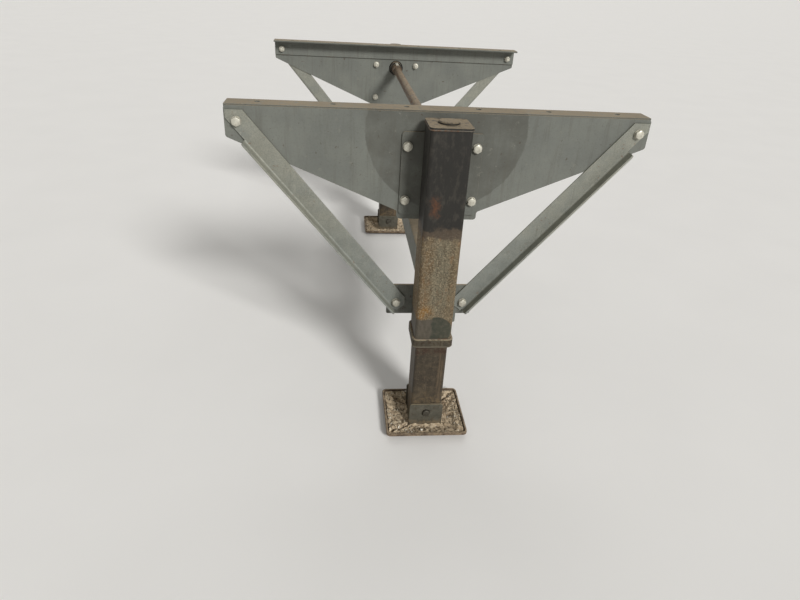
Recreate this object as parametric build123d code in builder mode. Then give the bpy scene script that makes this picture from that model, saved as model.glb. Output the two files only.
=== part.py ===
from build123d import *
import os
from math import atan2, cos, hypot, radians, sin, tan

# Landing gear of a semi-trailer: two telescopic legs with rocking sand shoes, tied and braced,
# and raised together by a crank, a gearbox and a cross shaft.
# +X points to the front of the trailer, +Y from the kerb side (near) to the road side (far), +Z up.
# The origin is the centre of the mounting bolts, on the plane where the gear meets the frame.
# A size called drop is measured down from that plane. Each leg's pieces are drawn for the near
# side and mirrored for the far side.

# Overall sizes
track = 1854.0             # leg centre to leg centre
deck_height = 1107.0       # mounting plane above the ground, with the legs as far out as here
bay = 224.8                # spacing of the crossmembers that the gear is bolted to

# Outer tube of a leg, its cap and the collar round its mouth
outer_side = 125.0
outer_wall = 6.0
outer_corner = 12.0
outer_length = 727.0
tube_top_drop = 22.0
cap_gauge = 6.0
cap_overhang = 2.0
cap_boss_radius = 32.0
cap_boss_height = 8.0
cap_boss_chamfer = 3.0
collar_height = 32.0
collar_gauge = 7.0
collar_lip = 5.0
collar_chamfer = 2.5

# Inner tube
slide_clearance = 1.0      # inner tube to the bore of the outer one, each side
mouth_clearance = 0.5      # inner tube to the collar's lip, each side
inner_wall = 5.0
inner_corner = 10.0
inner_length = 608.0
inner_lift = 32.0          # its end above the ground

# Sand shoe
floor_length = 226.0       # along X
floor_width = 196.0        # along Y
floor_corner = 6.0
shoe_gauge = 7.0
flare_width = 33.0
flare_height = 17.0
rim_height = 11.0
rim_corner = 16.0
rim_chamfer = 1.5

# Saddle on the shoe, and the foot pin that it rocks on
pin_lift = 68.0            # pin above the ground
pin_radius = 15.0
pin_recess = 1.5           # pin's end inside the face of an ear
pin_chamfer = 1.5
running_gap = 0.08         # radial, for every shaft in its hole
saddle_gap = 1.5           # ear to inner tube
saddle_gauge = 6.0
saddle_bend = 6.0
saddle_margin = 4.5        # past the inner tube, along X
saddle_ear = 35.0          # ear above the pin
saddle_round = 9.0

# Plates behind a leg
bracket_depth = 18.0       # back of the leg to the front of the wing plate
wing_gauge = 6.0
brace_gauge = 6.0

# Bracket that carries the wing plate on the leg
mount_bracket_top = 62.0   # drop
mount_bracket_rise = 265.0
mount_bracket_gauge = 6.0
mount_bracket_margin = 18.4  # past its bolts
mount_bracket_round = 10.0
mount_wall_inset = 12.5    # side of the leg to its side walls
mount_bolt_gap = 46.1      # side of the leg to its bolts
mount_bolt_margin = 45.0   # top of the bracket to its first bolt
mount_bolt_pitch = 172.0
mount_bolt_rows = 2

# Wing plate
wing_margin = 93.0         # past the last crossmember
wing_top_gap = 3.0         # under the mounting plane
wing_tab_margin = 4.5      # past the leg's bracket, each side
wing_tab_below = 18.0      # under the leg's bracket
wing_tab_edge = 27.0       # upright edge of the tab
wing_slope = 23.1          # degrees, of its lower edges
wing_round = 10.0

# Mounting angle, welded along the top of the wing plate
angle_side = 76.0
angle_gauge = 8.0
angle_root = 8.0
angle_toe = 4.0
mount_row = 45.0           # heel of the angle to its row of mounting holes
mount_hole_radius = 8.75
mount_bays = (0.5, 1.5, 2.5)  # places of the crossmembers, in bays from the leg

# Bracket that carries the lower ends of the braces
ear_top = 590.0            # drop
ear_rise = 114.0
ear_gauge = 8.0
ear_margin = 32.0          # past the brace's bolt
ear_round = 6.0
shelf_inset = 12.5         # side of the leg to the shelves
shelf_edge = 6.0           # edge of the ear to a shelf

# Braces: formed angles from the ears up to the ends of the wing plate
brace_side = 63.5          # flat flange, against the plates
brace_lip = 40.0           # outstanding flange
brace_bend = 12.0
brace_foot_gap = 55.5      # side of the leg to the lower bolt
brace_foot_drop = 655.0
brace_head_inset = 36.0    # upper bolt inside the end of the wing plate
brace_head_drop = 47.0
brace_bolt_line = 35.0     # inner edge to the bolts
brace_tail = 28.0          # past the lower bolt
brace_leg_gap = 25.0       # end of the brace to the side of the leg
brace_top_drop = 15.0
brace_end_gap = 4.0        # head of the brace inside the end of the wing plate
flange_tail = 20.0         # outstanding flange past the lower bolt
flange_short = 56.0        # outstanding flange short of the upper bolt
flange_round = 8.0
cope_side = 10.0           # cut into the flat flange where the outstanding one stops

# Holes for the bolts of the brackets, braces and tie
bolt_hole_radius = 8.75

# Cross tie between the legs, and its end plates
tie_start = 0.0            # x of its web's rear face
tie_width = 98.0
tie_depth = 113.0
tie_top_drop = 629.0
tie_gauge = 5.0
tie_bend = 10.0
tie_plate_gauge = 8.0
tie_plate_margin = 4.0
tie_plate_above = 32.0     # end plate above the tie
tie_bolt_inset = 24.0      # web's rear face to the first bolt
tie_bolt_pitch = 38.0
tie_bolt_below = 42.0      # top of the tie to its bolts

# Cross shaft, from leg to leg
shaft_drop = 122.0
shaft_radius = 19.0
shaft_wall = 4.0
stub_radius = 12.7
stub_inset = 24.0          # into the leg
stub_overlap = 30.0        # into the coupling
boss_radius = 34.0
boss_past_wing = 12.0
boss_chamfer = 3.0
boss_clearance = 4.0       # round the boss and round the stub shaft
coupling_radius = 25.0
coupling_length = 70.0
coupling_gap = 10.0        # boss to coupling, and stub shaft to cross shaft

# Gearbox on the road side leg
input_drop = 66.0          # cross shaft's axis down to the crank's
housing_big_radius = 56.0
housing_small_radius = 42.0
housing_depth = 62.0
housing_draft = 4.0        # off each radius, from the leg to the cover
foot_gauge = 8.0
foot_margin = 5.0
lug_radius = 9.0
lug_length = 26.0
lug_out = 3.0              # lug's centre outside the housing's wall
cover_margin = 7.0
cover_gauge = 10.0
cover_round = 3.0
bearing_radius = 30.0
bearing_height = 7.0
bearing_chamfer = 2.0
input_boss_radius = 21.0
input_boss_draft = 3.0
input_boss_length = 22.0
rib_gauge = 6.0
input_radius = 12.7
input_inset = 30.0         # into the housing
input_reach = 42.0         # boss's face to the fold pin

# Crank
yoke_radius = 22.0
yoke_behind = 30.0         # fold pin to the yoke's back
yoke_slot = 20.0
yoke_slot_behind = 20.0    # fold pin to the slot's floor
yoke_chamfer = 2.5
fold_pin_radius = 6.0
fold_pin_head = 3.0
fold_pin_chamfer = 1.0
eye_radius = 16.0
eye_clearance = 0.6        # eye to yoke, each side
eye_neck = 14.0            # flat of the eye past the yoke
crank_radius = 10.5
crank_bend = 34.0
crank_shank = 208.0        # fold pin to the arm
crank_arm = 330.0
crank_handle = 165.0
grip_radius = 17.0
grip_length = 112.0
grip_clearance = 8.0       # end of the bend to the grip
grip_chamfer = 3.0

# Places that follow from the sizes
ground_z = -deck_height
leg_half = outer_side / 2
leg_y = -track / 2
leg_back_y = leg_y + leg_half
wing_y = leg_back_y + bracket_depth
angle_y = wing_y + wing_gauge
tie_plate_y = wing_y + ear_gauge
tie_end_y = tie_plate_y + tie_plate_gauge
tube_top_z = -tube_top_drop
tube_bottom_z = tube_top_z - outer_length
inner_side = outer_side - 2 * outer_wall - 2 * slide_clearance
pin_z = ground_z + pin_lift
shaft_z = -shaft_drop
crank_z = shaft_z - input_drop
wing_half = mount_bays[-1] * bay + wing_margin

# Places of the bolts, as x and z
brace_foot_x = leg_half + brace_foot_gap
brace_head_x = wing_half - brace_head_inset
brace_head_spots = [(sign * brace_head_x, -brace_head_drop) for sign in (-1, 1)]
brace_foot_spots = [(sign * brace_foot_x, -brace_foot_drop) for sign in (-1, 1)]
mount_bolt_x = leg_half + mount_bolt_gap
first_bolt_z = -mount_bracket_top - mount_bolt_margin
mount_spots = [
    (sign * mount_bolt_x, first_bolt_z - row * mount_bolt_pitch)
    for row in range(mount_bolt_rows)
    for sign in (-1, 1)
]
tie_bolt_z = -tie_top_drop - tie_bolt_below
tie_spots = [(tie_start + tie_bolt_inset + n * tie_bolt_pitch, tie_bolt_z) for n in (0, 1)]
shaft_spot = [(0, shaft_z)]


def side_plane(y):
    """Upright plane at this y, its own x along X and its own y along Z, facing -Y."""
    return Plane.XZ.offset(-y)


def write(part, name):
    """Label a finished piece and write its STEP file."""
    part.label = name
    export_step(part, f"parts/{name}.step")


def write_pair(part, name):
    """Write the near piece and its mirror image for the far leg."""
    write(part, f"near_{name}")
    write(mirror(part, about=Plane.XZ), f"far_{name}")


def drill(spots, y, depth, radius):
    """Cut round holes along Y through this depth, which starts at y, at each x and z."""
    with BuildSketch(side_plane(y + depth)) as holes:
        with Locations(*spots):
            Circle(radius)
    extrude(holes.sketch, amount=depth, mode=Mode.SUBTRACT)


def rod(spots, y, depth, radius):
    """Add round bars along Y of this depth, which starts at y, at each x and z."""
    with BuildSketch(side_plane(y + depth)) as discs:
        with Locations(*spots):
            Circle(radius)
    extrude(discs.sketch, amount=depth)


def square_tube(side, wall, corner, bottom_z, length):
    """Add an upright square tube at the near leg's centre."""
    with BuildSketch(Plane.XY.offset(bottom_z)) as section:
        with Locations((0, leg_y)):
            RectangleRounded(side, side, corner)
            RectangleRounded(side - 2 * wall, side - 2 * wall, corner - wall, mode=Mode.SUBTRACT)
    extrude(section.sketch, amount=length)


def leg_block(length, width, corner, bottom_z, rise, mode=Mode.ADD):
    """Add or cut an upright block with round corners at the near leg's centre."""
    with BuildSketch(Plane.XY.offset(bottom_z)) as section:
        with Locations((0, leg_y)):
            RectangleRounded(length, width, corner)
    extrude(section.sketch, amount=rise, mode=mode)


def gearbox_outline(y, grow):
    """Sketch the gearbox's outline at this y: round both axes, with straight sides between."""
    with BuildSketch(side_plane(y)) as outline:
        with Locations((0, shaft_z)):
            Circle(housing_big_radius + grow)
        with Locations((0, crank_z)):
            Circle(housing_small_radius + grow)
        make_hull()
    return outline.sketch


os.makedirs("parts", exist_ok=True)

# Outer tube, open at its back for the cross shaft's end
with BuildPart() as outer_tube:
    square_tube(outer_side, outer_wall, outer_corner, tube_bottom_z, outer_length)
    drill(shaft_spot, leg_back_y - 2 * outer_wall, 3 * outer_wall, stub_radius + boss_clearance)
write_pair(outer_tube.part, "outer_tube")

# Cap with its bearing boss
with BuildPart() as top_cap:
    cap_side = outer_side + 2 * cap_overhang
    leg_block(cap_side, cap_side, outer_corner + cap_overhang, tube_top_z, cap_gauge)
    with BuildSketch(Plane.XY.offset(tube_top_z + cap_gauge)):
        with Locations((0, leg_y)):
            Circle(cap_boss_radius)
    extrude(amount=cap_boss_height)
    chamfer(top_cap.edges().filter_by(GeomType.CIRCLE).group_by(Axis.Z)[-1], cap_boss_chamfer)
write_pair(top_cap.part, "top_cap")

# Collar: a band round the mouth of the outer tube, with a lip under the tube's end
with BuildPart() as collar:
    band_side = outer_side + 2 * collar_gauge
    band_bottom_z = tube_bottom_z - collar_lip
    leg_block(band_side, band_side, outer_corner + collar_gauge, band_bottom_z, collar_height)
    level_edges = collar.edges().group_by(Axis.Z)
    chamfer(level_edges[0] + level_edges[-1], collar_chamfer)
    leg_block(outer_side, outer_side, outer_corner, tube_bottom_z, collar_height, Mode.SUBTRACT)
    mouth_side = inner_side + 2 * mouth_clearance
    mouth_corner = inner_corner + mouth_clearance
    leg_block(mouth_side, mouth_side, mouth_corner, band_bottom_z, collar_height, Mode.SUBTRACT)
write_pair(collar.part, "collar")

# Inner tube, bored across for the foot pin
with BuildPart() as inner_tube:
    square_tube(inner_side, inner_wall, inner_corner, ground_z + inner_lift, inner_length)
    drill([(0, pin_z)], leg_y - inner_side / 2, inner_side, pin_radius + running_gap)
write_pair(inner_tube.part, "inner_tube")

# Sand shoe: a pan of one gauge, its sides flared and then turned up to a rim
flare_angle = atan2(flare_height, flare_width)
floor_inset = shoe_gauge * tan(flare_angle / 2)
inner_flare = (flare_width - shoe_gauge + floor_inset) * tan(flare_angle)
shoe_length = floor_length + 2 * flare_width
shoe_width = floor_width + 2 * flare_width
with BuildPart() as sand_shoe:
    for mode, floor_lift, rim_lift, floor_in, rim_in in (
        (Mode.ADD, 0.0, flare_height, 0.0, 0.0),
        (Mode.SUBTRACT, shoe_gauge, shoe_gauge + inner_flare, floor_inset, shoe_gauge),
    ):
        rim = (shoe_length - 2 * rim_in, shoe_width - 2 * rim_in, rim_corner - rim_in)
        floor = (floor_length - 2 * floor_in, floor_width - 2 * floor_in, floor_corner - floor_in)
        for lift, size in ((floor_lift, floor), (rim_lift, rim)):
            with BuildSketch(Plane.XY.offset(ground_z + lift)):
                with Locations((0, leg_y)):
                    RectangleRounded(*size)
        loft(mode=mode)
        leg_block(*rim, ground_z + rim_lift, flare_height + rim_height - rim_lift, mode)
    chamfer(sand_shoe.edges().group_by(Axis.Z)[-1], rim_chamfer)
write_pair(sand_shoe.part, "sand_shoe")

# Saddle: a U of plate on the shoe's floor, whose ears hold the foot pin
saddle_length = inner_side + 2 * saddle_margin
saddle_inside = inner_side + 2 * saddle_gap
saddle_outside = saddle_inside + 2 * saddle_gauge
saddle_z = ground_z + shoe_gauge
saddle_rise = pin_z + saddle_ear - saddle_z
with BuildPart() as shoe_saddle:
    with BuildSketch(Plane.YZ.offset(-saddle_length / 2)) as saddle_section:
        with Locations((leg_y, saddle_z + saddle_rise / 2)):
            Rectangle(saddle_outside, saddle_rise)
        fillet(saddle_section.vertices().group_by(Axis.Y)[0], saddle_bend + saddle_gauge)
        with Locations((leg_y, saddle_z + saddle_gauge + saddle_rise / 2)):
            Rectangle(saddle_inside, saddle_rise, mode=Mode.SUBTRACT)
        bends = saddle_section.vertices().filter_by(lambda v: abs(v.Z - saddle_z - saddle_gauge) < 0.01)
        fillet(bends, saddle_bend)
    extrude(amount=saddle_length)
    fillet(shoe_saddle.edges().filter_by(Axis.Y).group_by(Axis.Z)[-1], saddle_round)
    drill([(0, pin_z)], leg_y - saddle_outside / 2, saddle_outside, pin_radius)
write_pair(shoe_saddle.part, "shoe_saddle")

# Foot pin, a little short of the ears' outer faces
with BuildPart() as foot_pin:
    pin_length = saddle_outside - 2 * pin_recess
    rod([(0, pin_z)], leg_y - pin_length / 2, pin_length, pin_radius)
    chamfer(foot_pin.edges().filter_by(GeomType.CIRCLE), pin_chamfer)
write_pair(foot_pin.part, "foot_pin")

# Bracket for the wing plate: a wide plate stood off the leg on two side walls
mount_bracket_mid = -mount_bracket_top - mount_bracket_rise / 2
mount_bracket_half = mount_bolt_x + mount_bracket_margin
with BuildPart() as mount_bracket:
    with BuildSketch(side_plane(wing_y)):
        with Locations((0, mount_bracket_mid)):
            RectangleRounded(2 * mount_bracket_half, mount_bracket_rise, mount_bracket_round)
    extrude(amount=mount_bracket_gauge)
    wall_x = leg_half - mount_wall_inset - mount_bracket_gauge / 2
    with BuildSketch(side_plane(wing_y - mount_bracket_gauge)):
        with Locations((-wall_x, mount_bracket_mid), (wall_x, mount_bracket_mid)):
            Rectangle(mount_bracket_gauge, mount_bracket_rise - 2 * mount_bracket_round)
    extrude(amount=bracket_depth - mount_bracket_gauge)
    drill(mount_spots, wing_y - mount_bracket_gauge, mount_bracket_gauge, bolt_hole_radius)
    drill(shaft_spot, wing_y - mount_bracket_gauge, mount_bracket_gauge, boss_radius + boss_clearance)
write_pair(mount_bracket.part, "mount_bracket")

# Wing plate: a tab behind the leg, and two wings that rise to their ends
with BuildPart() as wing_plate:
    tab_half = mount_bracket_half + wing_tab_margin
    tab_bottom_z = -mount_bracket_top - mount_bracket_rise - wing_tab_below
    tab_edge_z = tab_bottom_z + wing_tab_edge
    tip_z = tab_edge_z + (wing_half - tab_half) * tan(radians(wing_slope))
    half_outline = [
        (tab_half, tab_bottom_z),
        (tab_half, tab_edge_z),
        (wing_half, tip_z),
        (wing_half, -wing_top_gap),
    ]
    with BuildSketch(side_plane(angle_y)) as wing_outline:
        with BuildLine():
            Polyline(*half_outline, *[(-x, z) for x, z in reversed(half_outline)], close=True)
        make_face()
        fillet(wing_outline.vertices(), wing_round)
    extrude(amount=wing_gauge)
    drill(mount_spots + brace_head_spots, wing_y, wing_gauge, bolt_hole_radius)
    drill(shaft_spot, wing_y, wing_gauge, boss_radius + boss_clearance)
write_pair(wing_plate.part, "wing_plate")

# Mounting angle, its level leg drilled for a bolt at each crossmember
with BuildPart() as mounting_angle:
    with BuildSketch(Plane.YZ.offset(-wing_half)) as angle_section:
        with BuildLine():
            Polyline(
                (angle_y, 0),
                (angle_y + angle_side, 0),
                (angle_y + angle_side, -angle_gauge),
                (angle_y + angle_gauge, -angle_gauge),
                (angle_y + angle_gauge, -angle_side),
                (angle_y, -angle_side),
                close=True,
            )
        make_face()
        corners = angle_section.vertices()
        root = corners.sort_by_distance((0, angle_y + angle_gauge, -angle_gauge))[0]
        toes = (
            corners.sort_by_distance((0, angle_y + angle_side, -angle_gauge))[0],
            corners.sort_by_distance((0, angle_y + angle_gauge, -angle_side))[0],
        )
        fillet(root, angle_root)
        fillet(toes, angle_toe)
    extrude(amount=2 * wing_half)
    drill(brace_head_spots, angle_y, angle_gauge, bolt_hole_radius)
    with BuildSketch(Plane.XY):
        with Locations(*[(sign * n * bay, angle_y + mount_row) for n in mount_bays for sign in (-1, 1)]):
            Circle(mount_hole_radius)
    extrude(amount=-angle_gauge, mode=Mode.SUBTRACT)
write_pair(mounting_angle.part, "mounting_angle")

# Bracket for the braces: a plate across the back of the leg, stood off on two shelves
with BuildPart() as brace_bracket:
    with BuildSketch(side_plane(tie_plate_y)):
        with Locations((0, -ear_top - ear_rise / 2)):
            RectangleRounded(2 * (brace_foot_x + ear_margin), ear_rise, ear_round)
    extrude(amount=ear_gauge)
    shelf_drop = shelf_edge + ear_gauge / 2
    with BuildSketch(side_plane(wing_y)):
        with Locations((0, -ear_top - shelf_drop), (0, -ear_top - ear_rise + shelf_drop)):
            Rectangle(2 * (leg_half - shelf_inset), ear_gauge)
    extrude(amount=bracket_depth)
    drill(brace_foot_spots + tie_spots, wing_y, ear_gauge, bolt_hole_radius)
write_pair(brace_bracket.part, "brace_bracket")

# Front brace: a formed angle, its outstanding flange along the lower edge and turned outboard.
# Its own plane stands at the lower bolt, with x across the flat flange, y inboard and z along it.
brace_run = brace_head_x - brace_foot_x
brace_rise = brace_foot_drop - brace_head_drop
brace_span = hypot(brace_run, brace_rise)
brace_axis = Vector(brace_run, 0, brace_rise) / brace_span
brace_across = Vector(brace_rise, 0, -brace_run) / brace_span
brace_foot = Vector(brace_foot_x, wing_y, -brace_foot_drop)
brace_plane = Plane(origin=brace_foot, x_dir=brace_across, z_dir=brace_axis)
fold_x = brace_side - brace_bolt_line
with BuildPart() as front_brace:
    blank_length = brace_span + brace_tail + 2 * brace_side
    with BuildSketch(brace_plane.offset(-brace_tail)):
        with BuildLine():
            FilletPolyline(
                (-brace_bolt_line, -brace_gauge / 2),
                (fold_x - brace_gauge / 2, -brace_gauge / 2),
                (fold_x - brace_gauge / 2, -brace_lip),
                radius=brace_bend - brace_gauge / 2,
            )
        trace(line_width=brace_gauge)
    extrude(amount=blank_length)
    with BuildSketch(side_plane(wing_y)):
        with Locations((leg_half + brace_leg_gap - blank_length / 2, 0)):
            Rectangle(blank_length, 4 * blank_length)
        with Locations((wing_half - brace_end_gap + blank_length / 2, 0)):
            Rectangle(blank_length, 4 * blank_length)
        with Locations((0, blank_length / 2 - brace_top_drop)):
            Rectangle(4 * blank_length, blank_length)
    extrude(amount=2 * brace_side, mode=Mode.SUBTRACT)
    flange_stop = brace_span - flange_short
    for start, length in ((-2 * brace_tail, 2 * brace_tail - flange_tail), (flange_stop, blank_length)):
        with BuildSketch(brace_plane.offset(start)):
            with Locations((fold_x, -brace_side)):
                Rectangle(2 * cope_side, 4 * brace_side)
        extrude(amount=length, mode=Mode.SUBTRACT)
    flange_edge = brace_foot + brace_across * (fold_x - brace_gauge / 2) - Vector(0, brace_lip, 0)
    for along in (-flange_tail, flange_stop):
        corner_edge = front_brace.edges().sort_by_distance(flange_edge + brace_axis * along)[0]
        fillet(corner_edge, flange_round)
    drill([brace_foot_spots[1], brace_head_spots[1]], wing_y - brace_gauge, brace_gauge, bolt_hole_radius)
write_pair(front_brace.part, "front_brace")
write_pair(mirror(front_brace.part, about=Plane.YZ), "rear_brace")

# End plate of the cross tie
tie_mid_x = tie_start + tie_width / 2
with BuildPart() as tie_plate:
    tie_plate_rise = tie_depth + tie_plate_above + tie_plate_margin
    tie_plate_top_z = -tie_top_drop + tie_plate_above
    with BuildSketch(side_plane(tie_end_y)):
        with Locations((tie_mid_x, tie_plate_top_z - tie_plate_rise / 2)):
            RectangleRounded(tie_width + 2 * tie_plate_margin, tie_plate_rise, ear_round)
    extrude(amount=tie_plate_gauge)
    drill(tie_spots, tie_plate_y, tie_plate_gauge, bolt_hole_radius)
write_pair(tie_plate.part, "tie_plate")

# Cross tie: a formed channel, open to the front
with BuildPart() as cross_tie:
    tie_edge_x = tie_start + tie_width
    web_x = tie_start + tie_gauge / 2
    high_z = -tie_top_drop - tie_gauge / 2
    low_z = high_z - tie_depth + tie_gauge
    with BuildSketch(side_plane(-tie_end_y)):
        with BuildLine():
            FilletPolyline(
                (tie_edge_x, low_z),
                (web_x, low_z),
                (web_x, high_z),
                (tie_edge_x, high_z),
                radius=tie_bend - tie_gauge / 2,
            )
        trace(line_width=tie_gauge)
    extrude(amount=-2 * tie_end_y)
write(cross_tie.part, "cross_tie")

# Boss on the back of the leg, through the wing plate, for the cross shaft's end
boss_length = bracket_depth + wing_gauge + boss_past_wing
with BuildPart() as shaft_boss:
    rod(shaft_spot, leg_back_y, boss_length, boss_radius)
    chamfer(shaft_boss.edges().group_by(Axis.Y)[-1], boss_chamfer)
    drill(shaft_spot, leg_back_y, boss_length, stub_radius + running_gap)
write_pair(shaft_boss.part, "shaft_boss")

# Stub shaft that turns in the boss
coupling_y = leg_back_y + boss_length + coupling_gap
stub_end_y = coupling_y + stub_overlap
with BuildPart() as stub_shaft:
    rod(shaft_spot, leg_back_y - stub_inset, stub_end_y - leg_back_y + stub_inset, stub_radius)
write_pair(stub_shaft.part, "stub_shaft")

# Coupling: a sleeve with a narrow bore for the stub shaft and a wide one for the cross shaft
shaft_start_y = stub_end_y + coupling_gap
with BuildPart() as shaft_coupling:
    rod(shaft_spot, coupling_y, coupling_length, coupling_radius)
    drill(shaft_spot, coupling_y, coupling_length, stub_radius)
    drill(shaft_spot, shaft_start_y, coupling_length, shaft_radius)
write_pair(shaft_coupling.part, "shaft_coupling")

# Cross shaft
with BuildPart() as cross_shaft:
    rod(shaft_spot, shaft_start_y, -2 * shaft_start_y, shaft_radius)
    drill(shaft_spot, shaft_start_y, -2 * shaft_start_y, shaft_radius - shaft_wall)
write(cross_shaft.part, "cross_shaft")

# Gearbox housing on the outboard face of the far leg: a foot, a drafted wall and lugs for the cover
housing_y = track / 2 + leg_half
cover_y = housing_y + housing_depth
input_face_y = cover_y + cover_gauge + input_boss_length
wall_radii = ((shaft_z, housing_big_radius, 0), (crank_z, housing_small_radius, 180))
lug_spots = [
    ((radius + lug_out) * cos(radians(turn + side)), z + (radius + lug_out) * sin(radians(turn + side)))
    for z, radius, turn in wall_radii
    for side in (28, 90, 152)
]
with BuildPart() as gearbox_housing:
    extrude(gearbox_outline(housing_y + foot_gauge, foot_margin), amount=foot_gauge)
    loft([gearbox_outline(housing_y, 0), gearbox_outline(cover_y, -housing_draft)])
    rod(lug_spots, cover_y - lug_length, lug_length, lug_radius)
    drill([(0, crank_z)], cover_y - input_inset, input_inset, input_radius + running_gap)
write(gearbox_housing.part, "gearbox_housing")

# Gearbox cover with a bearing boss, an input boss and a rib between them
with BuildPart() as gearbox_cover:
    extrude(gearbox_outline(cover_y + cover_gauge, cover_margin - housing_draft), amount=cover_gauge)
    fillet(gearbox_cover.edges().group_by(Axis.Y)[-1], cover_round)
    rod(lug_spots, cover_y, cover_gauge, lug_radius)
    rod(shaft_spot, cover_y + cover_gauge, bearing_height, bearing_radius)
    chamfer(gearbox_cover.edges().group_by(Axis.Y)[-1], bearing_chamfer)
    with BuildSketch(side_plane(cover_y + cover_gauge)):
        with Locations((0, crank_z)):
            Circle(input_boss_radius + input_boss_draft)
    with BuildSketch(side_plane(input_face_y)):
        with Locations((0, crank_z)):
            Circle(input_boss_radius)
    loft()
    with BuildSketch(side_plane(cover_y + cover_gauge + bearing_height)):
        with Locations((0, (shaft_z + crank_z) / 2)):
            Rectangle(rib_gauge, input_drop)
    extrude(amount=bearing_height)
    drill([(0, crank_z)], cover_y, input_face_y - cover_y, input_radius + running_gap)
write(gearbox_cover.part, "gearbox_cover")

# Input shaft with its yoke, slotted level for the crank's eye, which folds about an upright pin
fold_y = input_face_y + input_reach
yoke_length = yoke_behind + yoke_radius
with BuildPart() as input_shaft:
    rod([(0, crank_z)], fold_y - yoke_behind, yoke_length, yoke_radius)
    chamfer(input_shaft.edges().filter_by(GeomType.CIRCLE), yoke_chamfer)
    rod([(0, crank_z)], cover_y - input_inset, fold_y - yoke_behind - cover_y + input_inset, input_radius)
    with BuildSketch(side_plane(fold_y + yoke_radius)):
        with Locations((0, crank_z)):
            Rectangle(4 * yoke_radius, yoke_slot)
    extrude(amount=yoke_slot_behind + yoke_radius, mode=Mode.SUBTRACT)
    with BuildSketch(Plane.XY.offset(crank_z - 2 * yoke_radius)):
        with Locations((0, fold_y)):
            Circle(fold_pin_radius)
    extrude(amount=4 * yoke_radius, mode=Mode.SUBTRACT)
write(input_shaft.part, "input_shaft")

# Fold pin of the crank
with BuildPart() as fold_pin:
    pin_half = yoke_radius + fold_pin_head
    with BuildSketch(Plane.XY.offset(crank_z - pin_half)):
        with Locations((0, fold_y)):
            Circle(fold_pin_radius)
    extrude(amount=2 * pin_half)
    chamfer(fold_pin.edges().filter_by(GeomType.CIRCLE), fold_pin_chamfer)
write(fold_pin.part, "fold_pin")

# Crank: a flat eye, a shank, an arm and a handle, bent from one bar
neck_y = fold_y + yoke_radius + eye_neck
arm_y = fold_y + crank_shank
handle_z = crank_z - crank_arm
eye_half = yoke_slot / 2 - eye_clearance
with BuildPart() as crank:
    with BuildLine() as crank_path:
        FilletPolyline(
            (0, neck_y, crank_z),
            (0, arm_y, crank_z),
            (0, arm_y, handle_z),
            (0, arm_y + crank_handle, handle_z),
            radius=crank_bend,
        )
    with BuildSketch(Plane(origin=crank_path.wire() @ 0, z_dir=crank_path.wire() % 0)):
        Circle(crank_radius)
    sweep()
    with BuildSketch(Plane.XY.offset(crank_z - eye_half)):
        with Locations((0, fold_y)):
            Circle(eye_radius)
        with Locations((0, (fold_y + neck_y) / 2)):
            Rectangle(2 * crank_radius, neck_y - fold_y)
        with Locations((0, fold_y)):
            Circle(fold_pin_radius + running_gap, mode=Mode.SUBTRACT)
    extrude(amount=2 * eye_half)
write(crank.part, "crank")

# Grip: a sleeve on the handle
grip_y = arm_y + crank_bend + grip_clearance
with BuildPart() as crank_grip:
    rod([(0, handle_z)], grip_y, grip_length, grip_radius)
    chamfer(crank_grip.edges().filter_by(GeomType.CIRCLE), grip_chamfer)
    drill([(0, handle_z)], grip_y, grip_length, crank_radius)
write(crank_grip.part, "crank_grip")
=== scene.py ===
"""Looks of a semi-trailer's landing gear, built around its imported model.

Everything is in the model's own frame: +X to the trailer's front, +Y from the kerb side leg (near)
to the road side leg (far), +Z up, with the origin in the middle of the mounting bolts. Sizes are
written in millimetres and turned to metres where a mesh or a node takes them.
"""

import logging
import math
from dataclasses import dataclass, replace
from enum import Enum
from typing import ClassVar

import bmesh
import bpy
import numpy as np
from mathutils import Matrix, Vector


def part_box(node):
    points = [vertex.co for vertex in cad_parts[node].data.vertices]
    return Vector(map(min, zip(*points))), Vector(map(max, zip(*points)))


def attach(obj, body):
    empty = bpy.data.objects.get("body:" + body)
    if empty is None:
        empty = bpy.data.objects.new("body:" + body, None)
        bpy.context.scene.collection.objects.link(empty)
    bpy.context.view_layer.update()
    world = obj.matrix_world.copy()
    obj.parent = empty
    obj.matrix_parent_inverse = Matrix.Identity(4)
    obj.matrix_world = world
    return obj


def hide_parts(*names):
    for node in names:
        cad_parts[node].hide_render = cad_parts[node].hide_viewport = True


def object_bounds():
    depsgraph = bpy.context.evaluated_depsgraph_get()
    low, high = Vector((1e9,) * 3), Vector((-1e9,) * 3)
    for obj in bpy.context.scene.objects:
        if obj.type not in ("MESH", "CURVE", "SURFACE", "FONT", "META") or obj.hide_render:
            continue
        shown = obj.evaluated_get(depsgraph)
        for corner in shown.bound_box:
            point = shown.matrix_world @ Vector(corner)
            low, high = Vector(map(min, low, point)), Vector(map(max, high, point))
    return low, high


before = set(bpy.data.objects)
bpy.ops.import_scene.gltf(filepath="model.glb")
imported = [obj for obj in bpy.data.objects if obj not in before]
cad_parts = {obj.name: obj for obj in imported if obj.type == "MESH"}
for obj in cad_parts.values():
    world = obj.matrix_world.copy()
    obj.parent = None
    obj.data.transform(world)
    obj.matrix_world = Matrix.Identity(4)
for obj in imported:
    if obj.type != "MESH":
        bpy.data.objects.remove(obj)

Socket = bpy.types.NodeSocket
Node = bpy.types.Node
Pair = tuple[float, float]

MM = 0.001
LOG = logging.getLogger("landing_gear")
MODEL_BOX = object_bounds()
GROUND = MODEL_BOX[0].z / MM
SKYWARD = np.array([0.0, 0.0, 1.0])


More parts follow.
